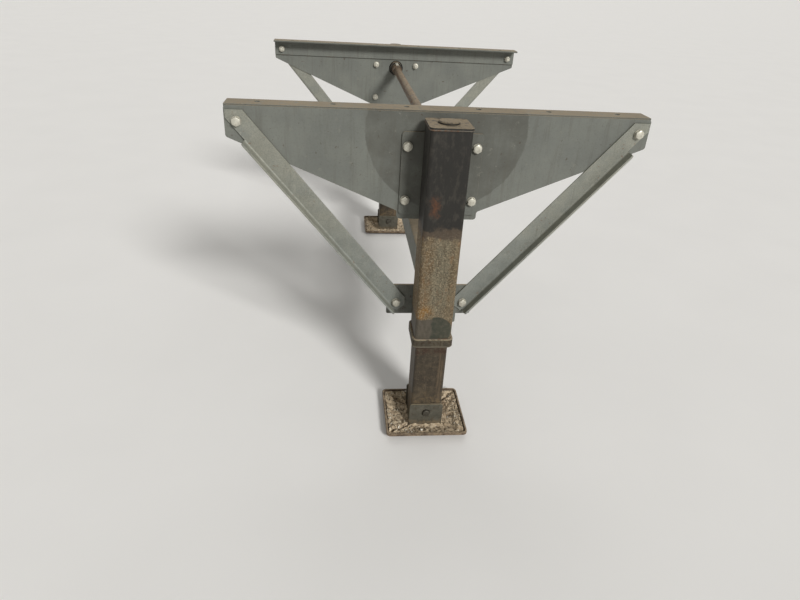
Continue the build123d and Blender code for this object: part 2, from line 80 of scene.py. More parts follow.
def srgb(code: str) -> tuple[float, float, float, float]:
    """Turn an sRGB hex colour into linear red, green, blue and full alpha.

    Args:
        code: The colour, as #rrggbb.

    Returns:
        Its four linear values.
    """
    parts = np.array([int(code[start:start + 2], 16) for start in (1, 3, 5)]) / 255
    linear = np.where(parts <= 0.04045, parts / 12.92, ((parts + 0.055) / 1.055) ** 2.4)
    return (float(linear[0]), float(linear[1]), float(linear[2]), 1.0)


def add(tree: bpy.types.NodeTree, kind: str, inputs: dict | None = None, **settings) -> Node:
    """Add a node with its settings and its inputs.

    Args:
        tree: The tree it goes into.
        kind: Its Blender type, without the word ShaderNode.
        inputs: For each input's name or number a value, a socket to link, or a node, whose first output
            is linked.
        settings: The node's own properties.

    Returns:
        The new node.
    """
    node = tree.nodes.new("ShaderNode" + kind)
    for key, value in settings.items():
        setattr(node, key, value)
    for key, value in (inputs or {}).items():
        if isinstance(value, Node):
            value = value.outputs[0]
        if isinstance(value, Socket):
            tree.links.new(value, node.inputs[key])
        else:
            node.inputs[key].default_value = value
    return node


class Axis(Enum):
    """An axis of the frame, as the output of a Separate XYZ node."""

    ALONG = "X"
    ACROSS = "Y"
    UP = "Z"


ALONG, ACROSS, UP = Axis


@dataclass
class Canvas:
    """A material being painted: its node tree and the coordinates that its patterns read."""

    tree: bpy.types.NodeTree
    place: Socket
    facing: Socket
    wave: float = 24.0

    def shaken(self, waver: float) -> Socket | Node:
        """Move the coordinates about at random, so that an edge drawn with them wanders.

        Noise keeps within about a quarter of its middle, so it is scaled by four times the waver.

        Args:
            waver: How far they move, in millimetres.

        Returns:
            The moved coordinates.
        """
        if not waver:
            return self.place
        noise = add(self.tree, "TexNoise",
                    {"Vector": self.place, "Scale": 1 / (self.wave * MM), "Detail": 4.0})
        centred = add(self.tree, "VectorMath", {0: noise.outputs["Color"], 1: (0.5, 0.5, 0.5)},
                      operation="SUBTRACT")
        scaled = add(self.tree, "VectorMath", {0: centred, 3: 4 * waver * MM}, operation="SCALE")
        return add(self.tree, "VectorMath", {0: self.place, 1: scaled}, operation="ADD")


@dataclass(frozen=True)
class Clouds:
    """Random patches: their width, the share of the surface they cover and their blur.

    A stretch over 1 along an axis makes them that much longer there, as runs down a wall are.
    """

    size: float
    cover: float = 0.5
    blur: float = 0.12
    stretch: tuple[float, float, float] = (1.0, 1.0, 1.0)

    def share(self, canvas: Canvas) -> Node:
        """Give 1 inside a patch and 0 outside it.

        Noise gathers about a half, so its limit moves by half as much as the cover.

        Args:
            canvas: The material being painted.

        Returns:
            The node that gives the share.
        """
        squeezed = add(canvas.tree, "Mapping",
                       {"Vector": canvas.place, "Scale": tuple(1 / length for length in self.stretch)})
        noise = add(canvas.tree, "TexNoise",
                    {"Vector": squeezed, "Scale": 1 / (self.size * MM), "Detail": 6.0, "Roughness": 0.6})
        limit = 0.5 + (0.5 - self.cover) * 0.5
        return add(canvas.tree, "MapRange",
                   {"Value": noise, "From Min": limit - self.blur, "From Max": limit + self.blur},
                   interpolation_type="SMOOTHSTEP")


@dataclass(frozen=True)
class Span:
    """A stretch of the piece along one axis, from low to high. Heights are above the ground."""

    axis: Axis
    low: float
    high: float
    blur: float = 4.0
    waver: float = 0.0

    def share(self, canvas: Canvas) -> Node:
        """Give 1 between the two ends and 0 outside them.

        Args:
            canvas: The material being painted.

        Returns:
            The node that gives the share.
        """
        base = GROUND if self.axis is UP else 0.0
        split = add(canvas.tree, "SeparateXYZ", {0: canvas.shaken(self.waver)})
        ends = [
            add(canvas.tree, "MapRange", {
                "Value": split.outputs[self.axis.value],
                "From Min": (base + end - blur) * MM,
                "From Max": (base + end + blur) * MM,
            }, interpolation_type="SMOOTHSTEP")
            for end, blur in ((self.low, self.blur), (self.high, -self.blur))
        ]
        return add(canvas.tree, "Math", dict(enumerate(ends)), operation="MULTIPLY")


@dataclass(frozen=True)
class Round:
    """A disc seen from the side: its centre along X and above the ground, and its radius."""

    along: float
    height: float
    radius: float
    blur: float = 3.0
    waver: float = 0.0

    def share(self, canvas: Canvas) -> Node:
        """Give 1 inside the disc and 0 outside it.

        Args:
            canvas: The material being painted.

        Returns:
            The node that gives the share.
        """
        flat = add(canvas.tree, "VectorMath", {0: canvas.shaken(self.waver), 1: (1.0, 0.0, 1.0)},
                   operation="MULTIPLY")
        centre = (self.along * MM, 0.0, (GROUND + self.height) * MM)
        away = add(canvas.tree, "VectorMath", {0: flat, 1: centre}, operation="DISTANCE")
        return add(canvas.tree, "MapRange", {
            "Value": away.outputs["Value"],
            "From Min": (self.radius + self.blur) * MM,
            "From Max": (self.radius - self.blur) * MM,
        }, interpolation_type="SMOOTHSTEP")


@dataclass(frozen=True)
class Edges:
    """The outer corners of a piece, where its finish wears off first.

    Its limits are cosines of the angle between the true normal and one rounded over the width.
    """

    width: float = 2.0
    faint: float = 0.985
    full: float = 0.9

    def share(self, canvas: Canvas) -> Node:
        """Give 1 on a corner and 0 away from it.

        Args:
            canvas: The material being painted.

        Returns:
            The node that gives the share.
        """
        rounded = add(canvas.tree, "Bevel", {"Radius": self.width * MM}, samples=4)
        sharp = add(canvas.tree, "NewGeometry")
        likeness = add(canvas.tree, "VectorMath", {0: rounded, 1: sharp.outputs["Normal"]},
                       operation="DOT_PRODUCT")
        return add(canvas.tree, "MapRange",
                   {"Value": likeness.outputs["Value"], "From Min": self.faint, "From Max": self.full})


@dataclass(frozen=True)
class Tops:
    """Faces that look up, where dust settles: how far up the normal points at the start and at the full."""

    start: float = 0.35
    full: float = 0.95

    def share(self, canvas: Canvas) -> Node:
        """Give 1 on a level face and 0 on an upright one.

        Args:
            canvas: The material being painted.

        Returns:
            The node that gives the share.
        """
        split = add(canvas.tree, "SeparateXYZ", {0: canvas.facing})
        return add(canvas.tree, "MapRange",
                   {"Value": split.outputs["Z"], "From Min": self.start, "From Max": self.full},
                   interpolation_type="SMOOTHSTEP")


@dataclass(frozen=True)
class CornerShade:
    """Painted shade in inner corners and gaps, where the light is closed off: its reach out of them, and how
    closed they are.
    """

    reach: float = 8.0
    start: float = 0.25
    full: float = 0.65

    def share(self, canvas: Canvas) -> Node:
        """Give 1 deep in a corner and 0 in the open.

        Args:
            canvas: The material being painted.

        Returns:
            The node that gives the share.
        """
        openness = add(canvas.tree, "AmbientOcclusion", {"Distance": self.reach * MM}, samples=4)
        return add(canvas.tree, "MapRange", {
            "Value": openness.outputs["AO"],
            "From Min": 1 - self.start,
            "From Max": 1 - self.full,
        })


# Between these a noise texture keeps nearly everywhere
NOISE_RANGE = (0.3, 0.7)
# Weathered paint, rust and dirt reflect a little less than clean paint, which has 0.5
SPECULAR = 0.3


@dataclass(frozen=True)
class Layer:
    """One layer of a finish over those under it, where all of its shapes meet."""

    colour: str
    shapes: tuple
    strength: float = 1.0
    roughness: float | None = None
    metallic: float | None = None
    height: float = 0.0


@dataclass(frozen=True)
class Finish:
    """A surface as it was made, and the layers that use and weather laid on it.

    The grain is a fine relief all over, and the tone is how far the colour drifts from place to place.
    """

    name: str
    colour: str
    roughness: float
    metallic: float = 0.0
    grain: float = 3.0
    grain_height: float = 0.05
    tone: float = 0.12
    tone_size: float = 60.0
    layers: tuple[Layer, ...] = ()

    def drift(self, canvas: Canvas, size: float, amount: float) -> Node:
        """Give a brightness that drifts about 1 from lump to lump.

        Args:
            canvas: The material being painted.
            size: Width of a lump, in millimetres.
            amount: How far it drifts to either side.

        Returns:
            The node that gives the brightness.
        """
        noise = add(canvas.tree, "TexNoise",
                    {"Vector": canvas.place, "Scale": 1 / (size * MM), "Detail": 5.0})
        low, high = NOISE_RANGE
        return add(canvas.tree, "MapRange", {"Value": noise, "From Min": low, "From Max": high,
                                             "To Min": 1 - amount, "To Max": 1 + amount})

    def material(self) -> bpy.types.Material:
        """Build the finish once, and give the same material after that."""
        return bpy.data.materials.get(self.name) or self.paint()

    def paint(self) -> bpy.types.Material:
        """Build the node tree: the bare colour, each layer, the colour's drift, and the relief.

        Returns:
            The new material.
        """
        made = bpy.data.materials.new(self.name)
        made.use_nodes = True
        tree = made.node_tree
        tree.nodes.clear()
        source = add(tree, "TexCoord")
        canvas = Canvas(tree, source.outputs["Object"], source.outputs["Normal"])
        colour = add(tree, "RGB").outputs[0]
        colour.default_value = srgb(self.colour)
        levels = {"Roughness": self.roughness, "Metallic": self.metallic}
        height = 0.0
        for layer in self.layers:
            share, *others = [shape.share(canvas) for shape in layer.shapes] + [layer.strength]
            for other in others:
                share = add(tree, "Math", {0: share, 1: other}, operation="MULTIPLY")
            mixed = add(tree, "Mix", {0: share, 6: colour, 7: srgb(layer.colour)}, data_type="RGBA")
            colour = mixed.outputs[2]
            for level, value in (("Roughness", layer.roughness), ("Metallic", layer.metallic)):
                if value is not None:
                    levels[level] = add(tree, "Mix", {0: share, 2: levels[level], 3: value})
            if layer.height:
                height = add(tree, "Math", {0: share, 1: layer.height, 2: height}, operation="MULTIPLY_ADD")
        for size, amount in ((self.tone_size, self.tone), (self.grain, self.tone / 2)):
            drift = self.drift(canvas, size, amount)
            colour = add(tree, "VectorMath", {0: colour, 3: drift}, operation="SCALE")
        relief = add(tree, "TexNoise",
                     {"Vector": canvas.place, "Scale": 1 / (self.grain * MM), "Detail": 3.0})
        height = add(tree, "Math", {0: relief, 1: self.grain_height, 2: height}, operation="MULTIPLY_ADD")
        bump = add(tree, "Bump", {"Height": height, "Distance": MM, "Strength": 1.0})
        shader = add(tree, "BsdfPrincipled", {"Base Color": colour, "Specular IOR Level": SPECULAR,
                                              "Normal": bump, **levels})
        add(tree, "OutputMaterial", {"Surface": shader})
        return made


# Drips and runs stretch this much along each axis
RUNS = (1.0, 1.0, 14.0)
DUST = "#93846c"
RUST_DARK = "#45301f"
RUST = "#6e4527"

# The near leg's outboard face, which alone carries the marks seen in the photograph
OUTBOARD = Span(ACROSS, -1100, -975, 5)

# Alkyd enamel brushed over a rolled tube: matt grey-brown, thinned by weather until rust bleeds through
LEG_ENAMEL = Finish("leg_alkyd_enamel", "#655b49", 0.74, grain=2.0, grain_height=0.16, tone=0.08, layers=(
    Layer("#746852", (Clouds(60, 0.45, 0.15, (1, 1, 2)),), 0.8),
    Layer("#60523c", (Clouds(24, 0.45, 0.12, (1, 1, 4)),), 0.7, 0.85),
    Layer("#696453", (Span(ALONG, -20, 34, 16, 12), Span(UP, 500, 755, 30, 20),
                      Clouds(30, 0.7, 0.2)), 0.8),
    Layer("#685338", (Span(ALONG, -70, -26, 14, 14), Span(UP, 400, 750, 40, 20),
                      Clouds(22, 0.6, 0.14)), 0.7, 0.85),
    Layer("#6f5f47", (Span(ALONG, 38, 70, 12, 12), Span(UP, 400, 760, 40, 20),
                      Clouds(22, 0.6, 0.14)), 0.65, 0.85),
    Layer("#7f5b2b", (Round(-40, 488, 24, 18, 14), OUTBOARD, Clouds(14, 0.62, 0.14)), 0.75, 0.9, height=0.06),
    Layer("#453a2b", (Clouds(8, 0.36, 0.1, (1, 1, 9)),), 0.5, height=-0.04),
    Layer("#9a8d74", (Clouds(6, 0.38, 0.08),), 0.6, height=0.05),
    Layer("#3a3125", (Clouds(5, 0.38, 0.07),), 0.6, height=-0.06),
    Layer("#765030", (Clouds(14, 0.24, 0.08, (1, 1, 3)),), 0.35, 0.9),
    Layer("#42382f", (Span(UP, 752, 1200, 9, 18),), 0.8, 0.65),
    Layer("#201f1c", (Span(UP, 784, 1200, 12, 18),), 0.96, 0.62),
    Layer("#413d36", (Span(UP, 800, 1200, 14, 14), Clouds(14, 0.36, 0.12, (1, 1, 2))), 0.5, 0.62),
    Layer("#50392b", (Span(ALONG, -46, -16, 7, 9), Span(UP, 824, 886, 14, 12), OUTBOARD,
                      Clouds(9, 0.6, 0.14)), 0.75, 0.9, height=0.08),
    Layer("#633f29", (Span(ALONG, -37, -26, 4, 6), Span(UP, 838, 880, 9, 12), OUTBOARD,
                      Clouds(7, 0.6, 0.14)), 0.55, 0.9, height=0.08),
    Layer("#423e35", (Span(UP, 370, 461, 3, 3), Span(ALONG, -70, 8, 4)), 0.92, 0.55),
    Layer("#34362c", (Round(8, 417, 53, 2, 2.5), Span(ALONG, -10, 90, 3, 3),
                      Span(ACROSS, -1100, -920, 5)), 0.95, 0.5),
    Layer("#5a5347", (Span(UP, 370, 466, 3, 3), Clouds(15, 0.4, 0.14)), 0.35, 0.7),
    Layer("#5c544a", (Span(UP, 372, 458, 4, 4), Span(ALONG, -56, -8, 4, 4),
                      Clouds(9, 0.45, 0.14, (1, 1, 3))), 0.5, 0.8),
    Layer("#7f745f", (Edges(3.0), Clouds(9, 0.5)), 0.5),
    # Painted shade in inner corners and gaps
    Layer("#362e24", (CornerShade(10),), 0.6, 0.85),
    Layer(DUST, (Tops(), Clouds(16, 0.7)), 0.8, 0.95),
))

# The collar's plate: the same enamel, darkened by grease, with a bare and dusty upper edge and a painted
# highlight along its lower lip
COLLAR_ENAMEL = Finish("collar_alkyd_enamel", "#3f392e", 0.62, grain=2.5, grain_height=0.12, layers=(
    Layer("#514a3b", (Clouds(24, 0.5, 0.15),), 0.8),
    Layer("#35261b", (Clouds(9, 0.36, 0.1),), 0.8, 0.9),
    Layer("#2e2920", (Clouds(7, 0.4, 0.1, RUNS),), 0.5),
    Layer("#857963", (Edges(1.4), Clouds(12, 0.55)), 0.6),
    # A thin pale line low round the collar: painted highlight on its lip
    Layer("#716a5c", (Span(UP, 355, 359, 1.2, 0.8), Clouds(20, 0.7, 0.15)), 0.7, 0.8),
    Layer("#9d9078", (Tops(0.3), Clouds(14, 0.7, 0.15)), 0.9, 0.9),
))

# Cold drawn tube, greased: half smooth brown-grey, with runs of old oil, and mud splashed on its foot
GREASED_TUBE = Finish("inner_greased_tube", "#373027", 0.5, 0.15, grain=1.5, grain_height=0.04, layers=(
    Layer("#453d31", (Clouds(50, 0.5, 0.2),), 0.8),
    Layer("#5b503f", (Clouds(30, 0.4, 0.12, (1, 1, 0.6)),), 0.5, 0.65),
    Layer("#28231b", (Clouds(12, 0.42, 0.14, RUNS),), 0.6),
    Layer("#5b5143", (Clouds(6, 0.3, 0.1, RUNS),), 0.5, 0.7),
    Layer("#6f5e4a", (Span(ALONG, 30, 45, 4, 3), Clouds(9, 0.55, 0.12, RUNS)), 0.55, 0.7),
    Layer("#39271d", (Span(UP, 318, 350, 10, 6), Clouds(16, 0.55)), 0.8),
    Layer("#6d5f4c", (Clouds(6, 0.26, 0.07),), 0.5, 0.85),
    Layer("#64553f", (Span(UP, -10, 140, 40, 20), Clouds(12, 0.45)), 0.8, 0.95, 0.0, 0.15),
    Layer("#756b59", (Edges(3.0), Clouds(12, 0.5)), 0.5),
    # Painted shade in inner corners and gaps
    Layer("#221c15", (CornerShade(12),), 0.7, 0.8),
))

# Grey enamel on cut plate, dulled by road film
BRACKET_ENAMEL = Finish("bracket_alkyd_enamel", "#70726b", 0.6, grain=2.5, layers=(
    Layer("#62635b", (Clouds(50, 0.5, 0.2),), 0.8),
    Layer("#85857a", (Clouds(6, 0.33, 0.08),), 0.5),
    Layer("#4d493f", (Clouds(9, 0.33, 0.1, RUNS),), 0.4),
    Layer(RUST_DARK, (Clouds(12, 0.2, 0.07),), 0.7, 0.9, height=0.08),
    Layer("#9c998b", (Edges(1.6), Clouds(7, 0.55)), 0.6),
    # Painted shade in inner corners and gaps
    Layer("#3a352c", (CornerShade(10),), 0.65, 0.85),
    Layer(DUST, (Tops(), Clouds(20, 0.85, 0.25)), 0.85, 0.95, height=0.1),
))

# The same enamel on the wide plates, with the round patch left where their middle was sprayed again
PLATE_ENAMEL = Finish("plate_alkyd_enamel", "#696b65", 0.58, grain=2.5, tone=0.06, tone_size=140, layers=(
    Layer("#74766e", (Clouds(110, 0.5, 0.2),), 0.8),
    Layer("#5f5f57", (Clouds(5, 0.33, 0.08),), 0.4),
    Layer("#4f4e47", (Round(12, 1052, 252, 3, 3), Span(ACROSS, -1000, 0), Clouds(70, 0.7, 0.4)),
          0.85, 0.7),
    Layer("#57544b", (Clouds(12, 0.33, 0.1, RUNS),), 0.3),
    Layer("#807f74", (Clouds(34, 0.2, 0.05), Clouds(4, 0.5, 0.08)), 0.5),
    Layer(RUST_DARK, (Clouds(16, 0.14, 0.04),), 0.6, 0.9, height=0.08),
    Layer("#908e80", (Edges(1.6), Clouds(8, 0.55)), 0.65),
    # Painted shade in inner corners and gaps
    Layer("#3d392f", (CornerShade(12),), 0.6, 0.85),
    Layer(DUST, (Tops(), Clouds(20, 0.8, 0.2)), 0.8, 0.95),
))

# Hot dip galvanised steel gone dull: pale green-grey with a fine mottle and chalky bloom
BRACE_GALVANISED = Finish("brace_dull_galvanising", "#7f827c", 0.55, metallic=0.3, grain=1.2, tone=0.06,
                          tone_size=35, layers=(
    Layer("#8c8e86", (Clouds(40, 0.5, 0.2),), 0.8),
    Layer("#929082", (Span(UP, 700, 1200, 120, 30), Clouds(90, 0.7, 0.25)), 0.7),
    Layer("#70736d", (Clouds(4, 0.42, 0.1),), 0.5),
    Layer("#9d9c90", (Clouds(9, 0.24, 0.06),), 0.5, 0.8),
    Layer("#65645b", (Clouds(60, 0.3, 0.1), Clouds(8, 0.5, 0.1)), 0.35, 0.75),
    Layer("#5a584e", (Clouds(8, 0.22, 0.08, RUNS),), 0.3),
    Layer(RUST, (Clouds(13, 0.14, 0.05),), 0.55, 0.9),
    Layer("#b0b0a2", (Edges(1.6), Clouds(7, 0.6)), 0.7),
    # Painted shade in inner corners and gaps
    Layer("#45423a", (CornerShade(8),), 0.5, 0.85),
    # Pale dust on faces that look up, and also a painted highlight that stands in for the light on the
    # brace's upturned lip
    Layer("#a4a496", (Tops(0.3), Clouds(20, 0.8, 0.2)), 0.7, 0.95),
))

# Zinc plating on bolts: soft grey shine, with white bloom, spots of rust, and painted shade in its corners
BOLT_ZINC = Finish("bolt_zinc_plate", "#c9c6b8", 0.42, 0.5, grain=1.0, tone=0.1, tone_size=12, layers=(
    Layer("#a39e90", (Clouds(9, 0.4, 0.15),), 0.7, 0.6),
    Layer(RUST, (Clouds(6, 0.18, 0.07),), 0.7, 0.9, 0.0, 0.04),
    Layer("#dedbce", (Edges(1.0),), 0.6),
    # Painted shade in inner corners and gaps
    Layer("#453f35", (CornerShade(6),), 0.85, 0.9, 0.0),
))

# Pressed steel shoe: rust and dried mud over what is left of a dark enamel
SHOE_RUST = Finish("shoe_rusted_plate", "#5e5043", 0.86, grain=2.0, grain_height=0.2, layers=(
    Layer("#6f5f4e", (Clouds(30, 0.5, 0.15),), 0.9, height=0.1),
    Layer("#3b2c20", (Clouds(26, 0.4, 0.1),), 0.8),
    Layer("#85745e", (Clouds(22, 0.45, 0.1),), 0.85, 0.95, height=0.3),
    Layer("#a08f77", (Tops(0.6), Clouds(20, 0.55)), 0.8, 0.98, height=0.3),
    Layer("#2d241b", (Clouds(9, 0.26, 0.06),), 0.7),
    Layer("#8b7c68", (Edges(2.5), Clouds(9, 0.45)), 0.5),
    # Painted shade in inner corners and gaps
    Layer("#241d16", (CornerShade(14),), 0.85),
))

# The saddle kept more of its enamel: dark grey-green, bare and dusty along its upper edge
SADDLE_ENAMEL = Finish("saddle_alkyd_enamel", "#47453b", 0.66, grain=2.0, grain_height=0.1, layers=(
    Layer("#57544a", (Clouds(30, 0.5, 0.2),), 0.8),
    Layer("#3a2d21", (Clouds(16, 0.3, 0.1),), 0.6, 0.9),
    Layer("#686050", (Clouds(6, 0.3, 0.08),), 0.5, 0.85),
    Layer("#6f614c", (Span(UP, -10, 30, 12, 8), Clouds(9, 0.55)), 0.9, 0.95, height=0.25),
    Layer("#857b67", (Edges(1.2), Clouds(7, 0.55)), 0.5),
    Layer("#9a8d74", (Tops(0.6), Clouds(20, 0.8)), 0.7, 0.9),
    # Painted shade in inner corners and gaps
    Layer("#2a251d", (CornerShade(6),), 0.6),
))

# Turned bar with no coating: brown-grey, brighter where it rubs
PIN_STEEL = Finish("pin_turned_steel", "#57544c", 0.42, metallic=0.75, grain=1.0, layers=(
    Layer("#3e382e", (Clouds(9, 0.5, 0.12),), 0.8, 0.8, 0.2),
    Layer("#a39a88", (Edges(1.5), Clouds(6, 0.6)), 0.8, 0.4),
))

# Plain tube and bar, lightly rusted under road film
SHAFT_STEEL = Finish("shaft_rolled_steel", "#5a5349", 0.55, metallic=0.5, grain=1.5, layers=(
    Layer("#5d4a39", (Clouds(26, 0.48, 0.12),), 0.8, 0.85, 0.1),
    Layer(RUST, (Clouds(9, 0.32, 0.08),), 0.8, 0.9, 0.0, 0.05),
    Layer("#7d7260", (Clouds(4, 0.3, 0.07),), 0.5, 0.8, 0.2),
    Layer(DUST, (Tops(), Clouds(14, 0.65)), 0.6, 0.95),
))

# Grey iron from a sand mould, sprayed dark grey: coarse skin, and rust where the paint is thin
GEAR_IRON = Finish("gearbox_cast_iron", "#44443d", 0.62, grain=1.8, grain_height=0.25, layers=(
    Layer("#53534a", (Clouds(30, 0.5, 0.2),), 0.8),
    Layer("#69655a", (Clouds(5, 0.3, 0.07),), 0.5, 0.8),
    Layer(RUST, (Clouds(12, 0.26, 0.07),), 0.8, 0.9, height=0.08),
    Layer("#25221c", (Clouds(16, 0.35, 0.1, RUNS),), 0.5, 0.35),
    Layer("#858070", (Edges(1.4), Clouds(6, 0.55)), 0.6),
    Layer(DUST, (Tops(), Clouds(12, 0.75)), 0.75, 0.95),
))

# Bent bar, zinc plated once: grey shine worn to brown steel at the bends
CRANK_STEEL = Finish("crank_bent_bar", "#77736a", 0.4, metallic=0.65, grain=1.2, layers=(
    Layer("#54463a", (Clouds(15, 0.45, 0.12),), 0.85, 0.8, 0.1),
    Layer(RUST, (Clouds(6, 0.28, 0.07),), 0.8, 0.9, 0.0, 0.05),
    Layer("#96917f", (Clouds(4, 0.3, 0.07),), 0.5, 0.5),
))

# Moulded PVC sleeve: near black, greyed and smoothed where hands turn it
GRIP_PVC = Finish("grip_moulded_pvc", "#1d1d1c", 0.5, grain=0.8, grain_height=0.03, layers=(
    Layer("#363530", (Clouds(18, 0.45, 0.15),), 0.8, 0.7),
    Layer("#5a5347", (Edges(1.2), Clouds(5, 0.5)), 0.5, 0.85),
))

# Weld metal left as it cooled, under thin enamel
WELD_METAL = Finish("weld_bead_steel", "#57524a", 0.5, metallic=0.3, grain=1.2, grain_height=0.08, layers=(
    Layer(RUST, (Clouds(12, 0.4, 0.12),), 0.8, 0.85, 0.0, 0.04),
    Layer("#8c8676", (Edges(1.0),), 0.4),
))

# Dried mud with grit pressed into it
DRY_MUD = Finish("foot_dried_mud", "#a8967d", 0.97, grain=1.8, grain_height=0.5, tone_size=30, layers=(
    Layer("#c8b699", (Clouds(26, 0.5, 0.14),), 0.9, height=0.3),
    Layer("#7d6850", (Clouds(34, 0.36, 0.1),), 0.6),
    # Dark sunken spots: painted shade in the mud's pits
    Layer("#3a2d1e", (Clouds(9, 0.3, 0.05),), 0.9, height=-0.6),
    Layer("#eadcc2", (Clouds(7, 0.27, 0.05),), 0.85),
    # Painted shade in the gaps of the mud
    Layer("#1f1811", (CornerShade(7, 0.3),), 0.95),
))

# Crushed stone from a yard: pale limestone among brown chips
GRAVEL_STONE = Finish("foot_crushed_stone", "#a69982", 0.88, grain=1.0, grain_height=0.1, tone=0.25,
                      tone_size=7, layers=(
    Layer("#5a4d3f", (Clouds(15, 0.4, 0.03),), 0.9),
    Layer("#efe9db", (Clouds(13, 0.36, 0.03),), 0.9),
    # Painted shade between the stones
    Layer("#1f1811", (CornerShade(3, 0.45),), 0.8),
))


@dataclass
class Shape:
    """A mesh in the making: its points in millimetres, and blocks of faces with 3 or 4 corners."""

    points: np.ndarray
    faces: list[np.ndarray]

    def moved(self, turn: np.ndarray, places: np.ndarray) -> "Shape":
        """Copy the shape to places: each point is turned by the matrix, then added to each place.

        Args:
            turn: A 3 by 3 matrix.
            places: One row of x, y and z for each copy.

        Returns:
            All copies as one shape.
        """
        turned = self.points @ turn.T
        points = (places[:, None, :] + turned[None, :, :]).reshape(-1, 3)
        steps = np.arange(len(places))[:, None, None] * len(self.points)
        faces = [(block[None, :, :] + steps).reshape(-1, block.shape[1]) for block in self.faces]
        return Shape(points, faces)

    @staticmethod
    def joined(shapes: list["Shape"]) -> "Shape":
        """Put several shapes into one.

        Args:
            shapes: The shapes, in their order.

        Returns:
            One shape with all their points and faces.
        """
        points, faces, start = [], [], 0
        for shape in shapes:
            points.append(shape.points)
            faces += [block + start for block in shape.faces]
            start += len(shape.points)
        return Shape(np.concatenate(points), faces)


def ring_faces(rings: int, around: int, closed: bool = False) -> np.ndarray:
    """Give the quads between rings of points that each go once round.

    Args:
        rings: Number of rings.
        around: Points in a ring.
        closed: Whether the last ring also joins the first.

    Returns:
        Four point numbers a row.
    """
    i = np.arange(rings if closed else rings - 1)[:, None]
    j = np.arange(around)[None, :]
    following, beside = (i + 1) % rings, (j + 1) % around
    corners = (i * around + j, i * around + beside, following * around + beside, following * around + j)
    return np.stack(corners, axis=-1).reshape(-1, 4)


def capped(points: np.ndarray, closed: bool = False) -> Shape:
    """Skin rings of points, with a fan to a middle point at each end unless the rings close.

    Args:
        points: An array of rings by points round by 3.
        closed: Whether the last ring joins the first, which needs no fans.

    Returns:
        The closed surface.
    """
    rings, around, _ = points.shape
    faces = [ring_faces(rings, around, closed)]
    flat = points.reshape(-1, 3)
    if closed:
        return Shape(flat, faces)
    j = np.arange(around)
    last = (rings - 1) * around
    first_pole, last_pole = len(flat), len(flat) + 1
    faces.append(np.stack([(j + 1) % around, j, np.full(around, first_pole)], axis=1))
    faces.append(np.stack([last + j, last + (j + 1) % around, np.full(around, last_pole)], axis=1))
    poles = np.stack([points[0].mean(axis=0), points[-1].mean(axis=0)])
    return Shape(np.concatenate([flat, poles]), faces)


def bell(x: np.ndarray, width: float) -> np.ndarray:
    """A bump of height 1 about 0: e to the minus square of x over the width."""
    return np.exp(-(x / width) ** 2)


def circle(count: int) -> np.ndarray:
    """Evenly spaced angles that go once round."""
    return np.linspace(0, 2 * math.pi, count, endpoint=False)


def lathe(radii: np.ndarray, heights: np.ndarray, around: int) -> Shape:
    """Turn a profile round +Z: x = r cos a, y = r sin a, z = h.

    Args:
        radii: A radius for each ring, or for each ring and angle.
        heights: The same for heights.
        around: Number of angles.

    Returns:
        The closed surface.
    """
    angles = circle(around)
    radii, heights = (np.broadcast_to(np.asarray(v, float).reshape(len(v), -1), (len(v), around))
                      for v in (radii, heights))
    return capped(np.stack([radii * np.cos(angles), radii * np.sin(angles), heights], axis=-1))


def hexagon(across: float, bottom: float, top: float, around: int = 36) -> Shape:
    """A hex head or nut round +Z, its upper corners cut by a cone.

    The side's radius at angle a is half the width over cos(a - nearest flat's angle). The top is flat
    out to 0.95 of the flats' radius, then drops by half of what the side exceeds that. The underside
    draws in to 0.9 of the side.

    Args:
        across: Width across its flats.
        bottom: Height of its underside.
        top: Height of its top.
        around: Number of angles.

    Returns:
        The closed hexagon.
    """
    angles = circle(around)
    sixth = math.pi / 3
    flat = across / 2
    side = flat / np.cos((angles + sixth / 2) % sixth - sixth / 2)
    crown, underside = 0.95 * flat, 0.9 * side
    shoulder = top - (side - crown) / 2
    full = np.ones(around)
    radii = np.stack([underside, side, side, crown * full])
    heights = np.stack([bottom * full, bottom * full, shoulder, top * full])
    return lathe(radii, heights, around)


@dataclass(frozen=True)
class Bolt:
    """A hex bolt with washers, a nut and the end of its thread.

    The washers' hole is a share of their radius.
    """

    size: float = 16.0
    across: float = 24.0
    head: float = 10.0
    nut: float = 13.0
    washer: float = 3.0
    washer_radius: float = 15.0
    end: float = 7.0
    pitch: float = 2.0
    thread: float = 1.0
    tip_chamfer: float = 1.6
    hole: float = 0.55

    def shape(self, grip: float) -> Shape:
        """Build it round +Z, its head above z = 0 and its nut under z = -grip.

        The thread is a zigzag profile, one tooth a pitch.

        Args:
            grip: Thickness of what the bolt clamps.

        Returns:
            The bolt, its nut and both washers.
        """
        nut_top = -grip - self.washer
        washer = self.washer_radius * np.array([self.hole, 1.0, 1.0, self.hole])
        parts = [lathe(washer, np.array([low, low, low + self.washer, low + self.washer]), 32)
                 for low in (0.0, nut_top)]
        parts.append(hexagon(self.across, self.washer, self.washer + self.head))
        nut = hexagon(self.across, -nut_top, -nut_top + self.nut)
        parts.append(nut.moved(np.diag([1.0, -1.0, -1.0]), np.zeros((1, 3))))
        teeth = np.arange(2 * int((self.end + self.nut) / self.pitch) + 1)
        tip = nut_top - self.nut - self.end
        bar = self.size / 2
        heights = [[tip], tip + self.thread + teeth * self.pitch / 2, [self.washer]]
        radii = [[bar - self.tip_chamfer], bar - self.thread * (teeth % 2 == 0), [bar - self.thread / 2]]
        parts.append(lathe(np.concatenate(radii), np.concatenate(heights), 24))
        return Shape.joined(parts)


# The small bolts of the couplings and of the gearbox's cover
BOLT_M8 = Bolt(size=8.0, across=13.0, head=5.5, nut=6.5, washer=1.6, washer_radius=8.0, end=3.0, pitch=1.25)


